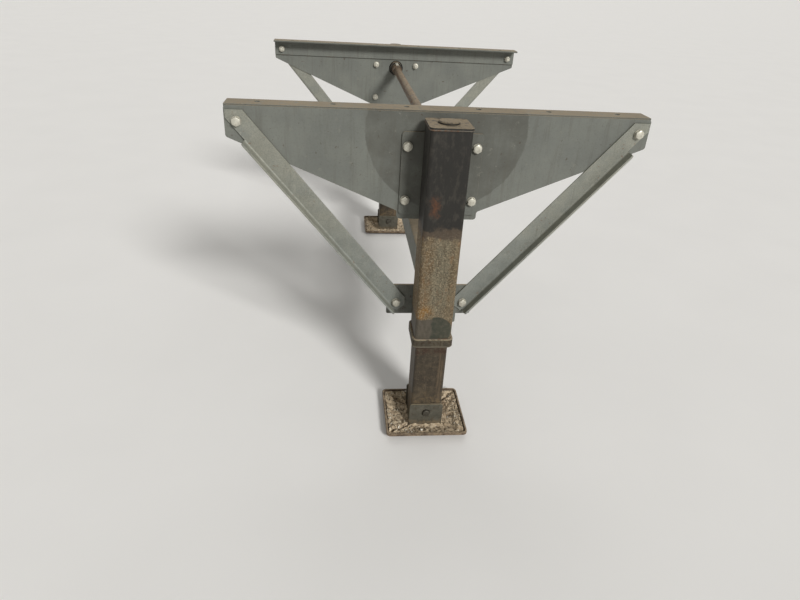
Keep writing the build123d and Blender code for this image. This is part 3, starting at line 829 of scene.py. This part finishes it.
class Facing(Enum):
    """Which way a bolt's head looks: its +Z turned to this axis."""

    OUT_NEAR = ((1, 0, 0), (0, 0, 1), (0, -1, 0))
    OUT_FAR = ((1, 0, 0), (0, 0, -1), (0, 1, 0))
    UP = ((1, 0, 0), (0, 1, 0), (0, 0, 1))

    @property
    def turn(self) -> np.ndarray:
        """The matrix whose columns are where +X, +Y and +Z go."""
        return np.array(self.value, float).T


@dataclass(frozen=True)
class Bead:
    """A weld bead: half its width, its height as a share of that, and the length of a ripple.

    With each ripple of the weld pool its size swells by a share, and along its run it wanders by another.
    """

    leg: float = 3.5
    height: float = 0.8
    ripple: float = 3.2
    swell: float = 0.1
    wander: float = 0.05
    points: int = 10

    def shape(self, path: np.ndarray, normal: np.ndarray, loop: bool = False) -> Shape:
        """Lay the bead along a path.

        The section is an ellipse. At the ends of an open bead it closes as the root of the way to the
        end over one and a half legs.

        Args:
            path: Its corners, a row each.
            normal: The way that the bead stands out, for every point.
            loop: Whether the path closes on itself.

        Returns:
            The closed bead.
        """
        corners = np.vstack([path, path[:1]]) if loop else path
        lengths = np.linalg.norm(np.diff(corners, axis=0), axis=1)
        marks = np.concatenate([[0.0], np.cumsum(lengths)])
        count = max(int(marks[-1] / (self.ripple / 3)), 6)
        along = np.linspace(0, marks[-1], count, endpoint=not loop)
        centre = np.stack([np.interp(along, marks, corners[:, axis]) for axis in range(3)], axis=1)
        ahead = np.roll(centre, -1, axis=0) - np.roll(centre, 1, axis=0)
        if not loop:
            ahead[0], ahead[-1] = centre[1] - centre[0], centre[-1] - centre[-2]
        ahead /= np.linalg.norm(ahead, axis=1)[:, None]
        up = np.broadcast_to(normal, centre.shape)
        across = np.cross(ahead, up)
        across /= np.linalg.norm(across, axis=1)[:, None]
        size = 1 + self.swell * np.sin(2 * math.pi * along / self.ripple) + self.wander * np.sin(along * 0.37)
        if not loop:
            to_end = np.minimum(along, marks[-1] - along)
            size = size * np.sqrt(np.clip(to_end / (1.5 * self.leg), 0.02, 1))
        turn = circle(self.points)[None, :, None]
        section = np.cos(turn) * across[:, None, :] + self.height * np.sin(turn) * up[:, None, :]
        return capped(centre[:, None, :] + self.leg * size[:, None, None] * section, loop)


def rounded_square(half_x: float, half_y: float, corner: float, steps: int = 8) -> np.ndarray:
    """Outline of a rectangle with round corners, anticlockwise: each corner is a quarter circle.

    Args:
        half_x: Half its length along X.
        half_y: Half its length along Y.
        corner: Radius of a corner.
        steps: Points in a corner.

    Returns:
        Its points, a row of x and y each.
    """
    quarter = np.linspace(0, math.pi / 2, steps)
    sides = []
    for number, (sign_x, sign_y) in enumerate(((1, 1), (-1, 1), (-1, -1), (1, -1))):
        angles = quarter + number * math.pi / 2
        sides.append(np.stack([
            sign_x * (half_x - corner) + corner * np.cos(angles),
            sign_y * (half_y - corner) + corner * np.sin(angles),
        ], axis=1))
    return np.concatenate(sides)


def in_scene(name: str, data: bpy.types.ID) -> bpy.types.Object:
    """Make an object and put it in the scene.

    Args:
        name: The object's name.
        data: Its mesh, lamp or camera.

    Returns:
        The new object.
    """
    made = bpy.data.objects.new(name, data)
    bpy.context.scene.collection.objects.link(made)
    return made


def node_box(node: str) -> tuple[np.ndarray, np.ndarray]:
    """Give the lowest and highest corner of a node, in millimetres."""
    low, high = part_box(node)
    return np.array(low) / MM, np.array(high) / MM


@dataclass(frozen=True)
class Side:
    """One leg's side of the gear: its word in the nodes' names, and the sign of its y."""

    word: str
    sign: int

    @property
    def facing(self) -> Facing:
        """The way out from the trailer on this side."""
        return Facing.OUT_NEAR if self.sign < 0 else Facing.OUT_FAR

    def node(self, name: str) -> str:
        """Full name of this side's node."""
        return f"{self.word}_{name}"

    def box(self, name: str) -> tuple[np.ndarray, np.ndarray]:
        """Give the lowest and highest corner of this side's node, in millimetres."""
        return node_box(self.node(name))

    def out_y(self, name: str) -> float:
        """Give the y of a node's outboard face, in millimetres."""
        low, high = self.box(name)
        return low[1] if self.sign < 0 else high[1]

    def in_y(self, name: str) -> float:
        """Give the y of a node's inboard face, in millimetres."""
        low, high = self.box(name)
        return high[1] if self.sign < 0 else low[1]

    def centre(self) -> np.ndarray:
        """The middle of the leg, at the origin's height."""
        low, high = self.box("outer_tube")
        return np.array([0.0, (low[1] + high[1]) / 2, 0.0])


SIDES = (Side("near", -1), Side("far", 1))


@dataclass
class SubAssembly:
    """Pieces that belong together: the finish of each of its nodes, and the body its own pieces ride on."""

    finishes: ClassVar[dict[str, Finish]]
    body: ClassVar[str] = "gear_frame"
    smooth_below: ClassVar[float] = 32.0

    def full(self, name: str) -> str:
        """Full name of one of its nodes or pieces."""
        return name

    def dress(self) -> None:
        """Give each node its finish."""
        for name, finish in self.finishes.items():
            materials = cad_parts[self.full(name)].data.materials
            materials.clear()
            materials.append(finish.material())
            LOG.info("%s: %s", self.full(name), finish.name)

    def make(self, name: str, shapes: list[Shape], finish: Finish,
             slot: str | None = None) -> bpy.types.Object:
        """Make shapes one object that rides on the body, smooth where it bends by less than a limit.

        Args:
            name: The piece's name, without its side.
            shapes: Their points in millimetres and their faces.
            finish: What it is made of.
            slot: The record's material slot, if it has one; not used.

        Returns:
            The new object.
        """
        shape, full = Shape.joined(shapes), self.full(name)
        mesh = bpy.data.meshes.new(full)
        faces = [face for rows in shape.faces for face in rows.tolist()]
        mesh.from_pydata((shape.points * MM).tolist(), [], faces)
        shell = bmesh.new()
        shell.from_mesh(mesh)
        bmesh.ops.recalc_face_normals(shell, faces=shell.faces)
        shell.to_mesh(mesh)
        shell.free()
        mesh.shade_smooth()
        mesh.set_sharp_from_angle(angle=math.radians(self.smooth_below))
        mesh.materials.append(finish.material())
        piece = in_scene(full, mesh)
        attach(piece, self.body)
        LOG.info("%s: %d faces on %s", full, len(faces), self.body)
        return piece

    def build_welds(self) -> None:
        """Lay its weld beads, where it has any."""

    def build_bolts(self) -> None:
        """Put its bolts in, where it has any."""

    def build(self) -> None:
        """Dress its nodes, weld it and bolt it."""
        self.dress()
        self.build_welds()
        self.build_bolts()


@dataclass
class SideAssembly(SubAssembly):
    """A sub-assembly that the gear has on both sides."""

    side: Side

    def full(self, name: str) -> str:
        """Full name of one of its nodes or pieces, with the side's word before it."""
        return self.side.node(name)


@dataclass
class Leg(SideAssembly):
    """A leg's two tubes, its cap, its collar and the boss behind it."""

    finishes = {
        "outer_tube": LEG_ENAMEL,
        "top_cap": LEG_ENAMEL,
        "shaft_boss": LEG_ENAMEL,
        "collar": COLLAR_ENAMEL,
        "inner_tube": GREASED_TUBE,
    }
    corner: float = 12.0
    cap_drop: float = 1.0
    cap_bead: Bead = Bead(3.0)
    collar_bead: Bead = Bead(2.1)

    def build_welds(self) -> None:
        """Weld the cap and the collar to the outer tube, all the way round."""
        low, high = self.side.box("outer_tube")
        half = (high[0] - low[0]) / 2
        outline = rounded_square(half, half, self.corner)
        _, collar_top = self.side.box("collar")
        beads = []
        for z, bead in ((high[2] - self.cap_drop, self.cap_bead), (collar_top[2], self.collar_bead)):
            path = np.column_stack([outline, np.full(len(outline), z)]) + self.side.centre()
            beads.append(bead.shape(path, SKYWARD, loop=True))
        self.make("leg_welds", beads, WELD_METAL)


@dataclass
class Foot(SideAssembly):
    """A sand shoe with its saddle and pin, and the mud and gravel that it carries.

    The fold and the brim are shares of the way from the saddle's foot to the rim's, and the tuck is how
    far the mud reaches under the saddle.
    """

    finishes = {"sand_shoe": SHOE_RUST, "shoe_saddle": SADDLE_ENAMEL, "foot_pin": PIN_STEEL}
    floor_half: Pair = (111.2, 96.2)
    rim_half: Pair = (138.6, 123.6)
    fold: float = 0.6
    brim: float = 0.985
    tuck: float = 2.0
    gauge: float = 7.0
    flare: float = 14.3
    squareness: float = 16.0
    mud: float = 6.5
    grit: float = 4.0
    crack: float = 6.5
    mud_skin: float = 1.6
    mud_grid: tuple[int, int] = (44, 300)
    stones: int = 300
    stone_sizes: Pair = (1.0, 8.5)
    seed: int = 5
    pin_radius: float = 12.5
    pin_end: float = 9.0
    pin_round: float = 2.0
    pin_root: float = 2.0
    weld_inset: float = 10.0
    weld_lift: float = 0.5

    @property
    def body(self) -> str:
        """The foot's pieces ride on its own body."""
        return f"{self.side.word}_foot"

    def tray(self, u: np.ndarray, v: np.ndarray) -> np.ndarray:
        """Point of the tray's upper face.

        Args:
            u: Angle round the tray.
            v: 0 at the saddle's foot, the fold's share at the fold, 1 at the foot of the rim.

        Returns:
            x, y and z. Along each ray the point runs evenly between nearly square outlines with the half
            sides of the saddle, the floor and the rim, and it climbs past the fold.
        """
        low, high = self.side.box("shoe_saddle")
        inner = (high[:2] - low[:2]) / 2 - self.tuck
        squares = np.array([inner, self.floor_half, self.rim_half])
        stops = (0, self.fold, 1)
        half_x, half_y = (np.interp(v, stops, squares[:, axis]) for axis in (0, 1))
        power = self.squareness
        reach = (np.abs(np.cos(u)) ** power + np.abs(np.sin(u)) ** power) ** (-1 / power)
        climb = np.interp(v, stops, (0, 0, 1)) * self.flare
        flat = np.stack([reach * np.cos(u) * half_x, reach * np.sin(u) * half_y, climb + self.gauge], axis=-1)
        return flat + self.side.centre() + GROUND * SKYWARD

    def waves(self, place: np.ndarray, sizes: tuple[float, ...], shift: int) -> np.ndarray:
        """Random relief from -1 to 1: sine waves of each size, ten to a size, each its own way round.

        A wave counts by its size, and the sum over 3.2 of the sizes' sum is bent into the range by tanh.

        Args:
            place: Points, of which x and y are read.
            sizes: Lengths of the waves.
            shift: A number that sets one relief apart from another.

        Returns:
            A value for each point.
        """
        rng = np.random.default_rng(self.seed * 10 + shift + self.side.sign)
        total = np.zeros(place.shape[:-1])
        for size in sizes:
            for _ in range(10):
                angle, phase = rng.uniform(0, 2 * math.pi, 2)
                run = place[..., 0] * math.cos(angle) + place[..., 1] * math.sin(angle)
                total += np.sin(run * 2 * math.pi / size + phase) * size
        return np.tanh(total / (3.2 * sum(sizes)))

    def mud_top(self, u: np.ndarray, v: np.ndarray) -> np.ndarray:
        """Point of the mud's surface: it fills the fold, climbs the saddle's foot and cracks as it dries.

        Its thickness is a fill with a bell at the fold and one at the saddle's foot, plus waves of relief,
        less a groove along each diagonal, whose lips stand up, and less a crack wherever a slow random
        field crosses zero. It thins out over the last 0.06 before the brim, and where it would be less
        than nothing it stays 0.8 mm under the steel.

        Args:
            u: Angle round the tray.
            v: 0 at the saddle's foot, the fold's share at the fold, 1 at the foot of the rim.

        Returns:
            x, y and z.
        """
        place = self.tray(u, v)
        broad = self.waves(place, (85.0, 47.0, 26.0), 0)
        rough = self.waves(place, (30.0, 19.0, 11.0), 3)
        fill = 0.4 + 0.9 * bell(v - self.fold - 0.02, 0.22) + 0.7 * bell(v, 0.1)
        from_mitre = np.abs(u % (math.pi / 2) - math.pi / 4 + 0.03 * broad)
        mitre = 1.4 * bell(from_mitre, 0.03) - 0.75 * bell(from_mitre - 0.085, 0.035)
        dried = bell(self.waves(place, (46.0, 27.0), 5), 0.09) * np.clip(0.6 + broad, 0, 1)
        crack = (mitre + dried) * np.clip(v * 6, 0, 1)
        thick = self.mud * (fill + 0.75 * broad) + self.grit * rough - self.crack * crack
        place[..., 2] += np.maximum(thick * np.clip((self.brim - v) / 0.06, 0, 1) ** 0.5, -0.8)
        return place

    def build_mud(self) -> None:
        """Lay mud in the tray, bare in places: its surface, and a skin just inside the steel."""
        rows, around = self.mud_grid
        v, u = np.meshgrid(np.linspace(0, self.brim, rows), circle(around), indexing="ij")
        lower = self.tray(u, v) - self.mud_skin * SKYWARD
        loops = np.concatenate([self.mud_top(u, v), lower[::-1]])
        self.make("shoe_mud", [capped(loops, closed=True)], DRY_MUD, "shoe_steel")

    def build_stones(self) -> None:
        """Strew crushed stone over the mud.

        A stone is a ball of 3 rings by 7, each point pushed in or out by up to 0.28 of its radius, then
        squashed to between 0.55 and 1, turned and scaled. Its middle is 0.15 of its size above the mud.
        """
        rng = np.random.default_rng(self.seed * 7 + self.side.sign)
        tilt = np.linspace(0, math.pi, 5)[1:-1]
        ball = lathe(np.sin(tilt), -np.cos(tilt), 7)
        ball.points[-2:] = [-SKYWARD, SKYWARD]
        count = self.stones
        u, v = rng.uniform(0, 2 * math.pi, count), np.sqrt(rng.uniform(0.02, 0.9, count))
        place = self.mud_top(u, v)
        size = rng.gamma(2.0, 1.15, count).clip(*self.stone_sizes)
        place[:, 2] += size * 0.15
        turns, _ = np.linalg.qr(rng.normal(size=(count, 3, 3)))
        knobs = 1 + rng.uniform(-0.28, 0.28, (count, len(ball.points), 1))
        squash = rng.uniform(0.55, 1.0, (count, 1, 3))
        bodies = ball.points[None] * knobs * squash * size[:, None, None]
        points = np.einsum("nij,nvj->nvi", turns, bodies) + place[:, None, :]
        faces = ball.moved(np.eye(3), place).faces
        self.make("shoe_gravel", [Shape(points.reshape(-1, 3), faces)], GRAVEL_STONE)

    def build_pin_ends(self) -> None:
        """Let the foot pin stand out of both ears, each end rooted in its ear and rounded at its rim."""
        low, high = self.side.box("shoe_saddle")
        bottom, top = self.side.box("foot_pin")
        turn = np.linspace(0, math.pi / 2, 5)
        heights = np.concatenate([[-self.pin_root], self.pin_end - self.pin_round * (1 - np.sin(turn))])
        radii = np.concatenate([[self.pin_radius], self.pin_radius - self.pin_round * (1 - np.cos(turn))])
        end = lathe(radii, heights, 40)
        height = (bottom[2] + top[2]) / 2
        self.make("foot_pin_ends", [end.moved(facing.turn, np.array([[0.0, y, height]]))
                                    for y, facing in ((low[1], Facing.OUT_NEAR), (high[1], Facing.OUT_FAR))],
                  PIN_STEEL)

    def build_welds(self) -> None:
        """Weld the saddle to the tray along its two ends."""
        low, high = self.side.box("shoe_saddle")
        z, ends = low[2] + self.weld_lift, (low[1] + self.weld_inset, high[1] - self.weld_inset)
        self.make("saddle_welds", [Bead().shape(np.array([[x, y, z] for y in ends]), SKYWARD)
                                   for x in (low[0], high[0])], WELD_METAL)

    def build(self) -> None:
        """Build the foot with its mud, its stones and the ends of its pin."""
        super().build()
        self.build_mud()
        self.build_stones()
        self.build_pin_ends()


@dataclass
class WingMount(SideAssembly):
    """The wing plate with its mounting angle, its bracket on the leg and their bolts and welds."""

    finishes = dict.fromkeys(("wing_plate", "mounting_angle", "mount_bracket"), PLATE_ENAMEL)
    bolt_along: float = 108.6
    bolt_drops: Pair = (107.0, 279.0)
    bracket_gauge: float = 6.0
    wall: float = 50.5
    wall_inset: float = 14.0
    stitch: float = 46.0
    stitch_gap: float = 74.0
    stitch_insets: Pair = (30.0, 20.0)
    wall_bead: Bead = Bead(3.2)

    def build_bolts(self) -> None:
        """Bolt the wing plate to the leg's bracket."""
        back = self.side.in_y("wing_plate")
        face = self.side.in_y("mount_bracket") + self.side.sign * self.bracket_gauge
        places = np.array([[sign * self.bolt_along, face, -drop]
                           for sign in (-1, 1) for drop in self.bolt_drops])
        shape = Bolt().shape(abs(back - face)).moved(self.side.facing.turn, places)
        self.make("wing_bolts", [shape], BOLT_ZINC)

    def build_welds(self) -> None:
        """Stitch the angle to the plate from behind, and weld the bracket's walls to the leg."""
        low, high = self.side.box("mounting_angle")
        inward = np.array([0.0, -self.side.sign, 0.0])
        back = self.side.in_y("wing_plate")
        first, last = self.stitch_insets
        beads = []
        for start in np.arange(low[0] + first, high[0] - self.stitch - last, self.stitch + self.stitch_gap):
            path = np.array([[start, back, low[2]], [start + self.stitch, back, low[2]]])
            beads.append(Bead().shape(path, inward))
        low, high = self.side.box("mount_bracket")
        leg_face = self.side.in_y("outer_tube")
        for sign in (-1.0, 1.0):
            path = np.array([[sign * self.wall, leg_face, z]
                             for z in (low[2] + self.wall_inset, high[2] - self.wall_inset)])
            beads.append(self.wall_bead.shape(path, np.array([sign, 0.0, 0.0])))
        self.make("wing_welds", beads, WELD_METAL)


@dataclass
class Bracing(SideAssembly):
    """The two braces of a leg, their bracket and their bolts.

    A bolt at the foot grips one gauge of brace and what lies behind it, and one at the head two gauges.
    """

    finishes = {
        "front_brace": BRACE_GALVANISED,
        "rear_brace": BRACE_GALVANISED,
        "brace_bracket": BRACKET_ENAMEL,
    }
    foot: Pair = (118.0, -655.0)
    head: Pair = (619.0, -47.0)
    gauge: float = 6.0
    behind: float = 8.0
    shelf_half: float = 48.0
    shelf_inset: float = 6.0

    def build_bolts(self) -> None:
        """Bolt each brace to the bracket at its foot, and to the wing plate and angle at its head."""
        start = self.side.out_y("wing_plate") + self.side.sign * self.gauge
        shapes = []
        for (x, z), gauges in ((self.foot, 1), (self.head, 2)):
            places = np.array([[sign * x, start, z] for sign in (-1, 1)])
            grip = gauges * self.gauge + self.behind
            shapes.append(Bolt().shape(grip).moved(self.side.facing.turn, places))
        self.make("brace_bolts", shapes, BOLT_ZINC)

    def build_welds(self) -> None:
        """Weld the bracket's two shelves to the leg and to its plate."""
        low, high = self.side.box("brace_bracket")
        leg_face = self.side.in_y("outer_tube")
        beads = []
        for z, up in ((low[2] + self.shelf_inset, -SKYWARD), (high[2] - self.shelf_inset, SKYWARD)):
            path = np.array([[x, leg_face, z] for x in (-self.shelf_half, self.shelf_half)])
            beads.append(Bead().shape(path, up))
        self.make("bracket_welds", beads, WELD_METAL)


@dataclass
class Tie(SubAssembly):
    """The cross tie between the legs, with its end plates."""

    finishes = dict.fromkeys(("cross_tie", "near_tie_plate", "far_tie_plate"), BRACKET_ENAMEL)
    bolts_along: Pair = (24.0, 62.0)
    bolt_z: float = -671.0
    bracket_gauge: float = 8.0
    bend: float = 8.0
    toe: float = 4.0
    bolt: Bolt = Bolt(end=4.0)

    def build_bolts(self) -> None:
        """Bolt each end plate to its bracket."""
        bolts = []
        for side in SIDES:
            inner, outer = side.in_y("tie_plate"), side.out_y("tie_plate") + side.sign * self.bracket_gauge
            places = np.array([[x, outer, self.bolt_z] for x in self.bolts_along])
            bolts.append(self.bolt.shape(abs(outer - inner)).moved(side.facing.turn, places))
        self.make("tie_bolts", bolts, BOLT_ZINC)

    def build_welds(self) -> None:
        """Weld the channel to the plates, round its back and along both flanges as far as their toes."""
        low, high = node_box("cross_tie")
        lower = [(high[0] - self.toe, low[2]), (low[0] + self.bend, low[2]), (low[0], low[2] + self.bend)]
        upper = [(x, low[2] + high[2] - z) for x, z in reversed(lower)]
        beads = []
        for side in SIDES:
            path = np.array([[x, side.in_y("tie_plate"), z] for x, z in lower + upper])
            beads.append(Bead().shape(path, np.array([0.0, -side.sign, 0.0])))
        self.make("tie_welds", beads, WELD_METAL)


@dataclass
class ShaftLine(SubAssembly):
    """The cross shaft with its couplings and their cross bolts, each at a share of a coupling's length."""

    finishes = dict.fromkeys(("cross_shaft", "near_stub_shaft", "near_shaft_coupling", "far_stub_shaft",
                              "far_shaft_coupling"), SHAFT_STEEL)
    body = "cross_shaft"
    bolt_shares: Pair = (0.22, 0.8)

    def build_bolts(self) -> None:
        """Put two bolts through each coupling, one for each shaft in it."""
        places = []
        for side in SIDES:
            low, high = side.box("shaft_coupling")
            places += [[0.0, low[1] + share * (high[1] - low[1]), high[2]] for share in self.bolt_shares]
        shape = BOLT_M8.shape(high[2] - low[2]).moved(Facing.UP.turn, np.array(places))
        self.make("coupling_bolts", [shape], BOLT_ZINC)


@dataclass
class Gearbox(SubAssembly):
    """The gearbox on the road side leg. Its cover's lugs stand round two axes, each a height and a radius."""

    finishes = dict.fromkeys(("gearbox_housing", "gearbox_cover"), GEAR_IRON)
    big: Pair = (-122.0, 56.0)
    small: Pair = (-188.0, 42.0)
    lug_angles: tuple[float, ...] = (28.0, 90.0, 152.0)
    lug_out: float = 3.0
    lug_face: float = 10.0
    grip: float = 20.0
    bolt: Bolt = replace(BOLT_M8, end=2.0)

    def build_bolts(self) -> None:
        """Bolt the cover on at its six lugs."""
        low, _ = node_box("gearbox_cover")
        places = []
        for (z, radius), turn in ((self.big, 0.0), (self.small, 180.0)):
            angles = np.radians(turn + np.array(self.lug_angles))
            reach = radius + self.lug_out
            places += [[reach * math.cos(a), low[1] + self.lug_face, z + reach * math.sin(a)] for a in angles]
        shape = self.bolt.shape(self.grip).moved(Facing.OUT_FAR.turn, np.array(places))
        self.make("gearbox_bolts", [shape], BOLT_ZINC)


@dataclass
class Crank(SubAssembly):
    """The input shaft and the folding crank with its grip."""

    finishes = {"input_shaft": PIN_STEEL, "fold_pin": PIN_STEEL, "crank": CRANK_STEEL}
    body = "crank"
    grooves: int = 9
    groove_depth: float = 1.3
    groove_start: float = 0.35
    plain_ends: float = 0.12
    waist: float = 1.6
    end_round: float = 5.0

    def build(self) -> None:
        """Dress the crank and mould its grip: a sleeve that swells to its ends, with rings in its middle.

        Its radius is the end radius less a waist that follows a squared sine, less a groove where a faster
        sine is over the groove's start, less a quarter circle at each end.
        """
        self.dress()
        low, high = node_box("crank_grip")
        radius, length = (high[0] - low[0]) / 2, high[1] - low[1]
        t = np.linspace(0, 1, 141)
        from_end = np.minimum(t, 1 - t)
        start = self.groove_start
        ring = np.clip((np.sin(2 * math.pi * self.grooves * t) - start) / (1 - start), 0, 1) ** 0.5
        ring *= np.clip((from_end - self.plain_ends) / 0.02, 0, 1)
        rounding = 1 - np.sqrt(1 - (1 - np.clip(from_end * length / self.end_round, 0, 1)) ** 2)
        radii = radius - self.waist * np.sin(math.pi * t) ** 2 - self.groove_depth * ring
        outline = lathe(radii - self.end_round * rounding, t * length, 40)
        place = np.array([[(low[0] + high[0]) / 2, low[1], (low[2] + high[2]) / 2]])
        piece = self.make("crank_moulded_grip", [outline.moved(Facing.OUT_FAR.turn, place)], GRIP_PVC,
                          "grip_plastic")
        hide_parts("crank_grip")


@dataclass(frozen=True)
class Lamp:
    """A far lamp: the way to it, the width of its disc in degrees, and its strength."""

    name: str
    toward: tuple[float, float, float]
    spread: float
    strength: float


@dataclass
class Studio:
    """A pale floor, soft lamps and the camera at the photograph's place. Angles are in degrees."""

    camera_place: tuple[float, float, float] = (-325.8, -2678.3, 376.4)
    pitch: float = 29.1
    yaw: float = 6.94
    roll: float = 3.52
    lens: float = 27.0
    sensor: float = 36.0
    view_end: float = 5.0e6
    floor_half: float = 1.5e6
    floor_gap: float = 0.5
    floor: Finish = Finish("floor_paint", "#efede9", 0.9, grain=4.0, grain_height=0.0, tone=0.01,
                           tone_size=400)
    world_colour: str = "#e5e4e1"
    world_light: float = 0.27
    lamps: tuple[Lamp, ...] = (
        Lamp("key", (0.46, -1.0, 0.66), 14.0, 2.65),
        Lamp("rim", (0.1, 0.9, 0.7), 60.0, 0.8),
    )

    def build_camera(self) -> None:
        """Point the camera down by the pitch, to the right by the yaw, and tip it by the roll."""
        pitch, yaw, roll = (math.radians(angle) for angle in (self.pitch, self.yaw, self.roll))
        ahead = Vector((math.sin(yaw) * math.cos(pitch), math.cos(yaw) * math.cos(pitch), -math.sin(pitch)))
        level = Vector((math.cos(yaw), -math.sin(yaw), 0.0))
        upright = level.cross(ahead)
        right = math.cos(roll) * level + math.sin(roll) * upright
        up = math.cos(roll) * upright - math.sin(roll) * level
        data = bpy.data.cameras.new("camera")
        data.lens, data.sensor_width, data.clip_end = self.lens, self.sensor, self.view_end * MM
        camera = in_scene("camera", data)
        turn = Matrix((right, up, -ahead)).transposed().to_4x4()
        camera.matrix_world = Matrix.Translation(Vector(self.camera_place) * MM) @ turn
        bpy.context.scene.camera = camera

    def build_floor(self) -> None:
        """Lay the floor, a hair under the shoes."""
        half, level = self.floor_half * MM, (GROUND - self.floor_gap) * MM
        mesh = bpy.data.meshes.new("floor")
        corners = [(x * half, y * half, level) for x, y in ((-1, -1), (1, -1), (1, 1), (-1, 1))]
        mesh.from_pydata(corners, [], [(0, 1, 2, 3)])
        mesh.materials.append(self.floor.material())
        in_scene("floor", mesh)

    def build_world(self) -> None:
        """Light the scene evenly from all round, and show the same pale colour behind it."""
        world = bpy.data.worlds.new("studio")
        bpy.context.scene.world = world
        world.use_nodes = True
        tree = world.node_tree
        tree.nodes.clear()
        path = add(tree, "LightPath")
        seen = path.outputs["Is Camera Ray"]
        for ray in ("Is Glossy Ray", "Is Transmission Ray"):
            seen = add(tree, "Math", {0: seen, 1: path.outputs[ray]}, operation="MAXIMUM")
        strength = add(tree, "Mix", {0: seen, 2: self.world_light, 3: 1.0})
        back = add(tree, "Background", {"Color": srgb(self.world_colour), "Strength": strength})
        add(tree, "OutputWorld", {"Surface": back})

    def build_lamps(self) -> None:
        """Shine a broad soft key from the front right, and a weak one from behind on the left."""
        for lamp in self.lamps:
            data = bpy.data.lights.new(lamp.name, "SUN")
            data.angle, data.energy = math.radians(lamp.spread), lamp.strength
            aimed = Vector(lamp.toward).to_track_quat("Z", "Y")
            in_scene(lamp.name, data).rotation_euler = aimed.to_euler()

    def build(self) -> None:
        """Build the whole set and choose the plain view transform."""
        self.build_camera()
        self.build_floor()
        self.build_world()
        self.build_lamps()
        bpy.context.scene.view_settings.view_transform = "Standard"


def main() -> None:
    """Build the set and every sub-assembly."""
    logging.basicConfig(level=logging.INFO, format="%(message)s")
    Studio().build()
    for side in SIDES:
        for kind in (Leg, Foot, WingMount, Bracing):
            kind(side).build()
    for kind in (Tie, ShaftLine, Gearbox, Crank):
        kind().build()


if __name__ == "__main__":
    main()
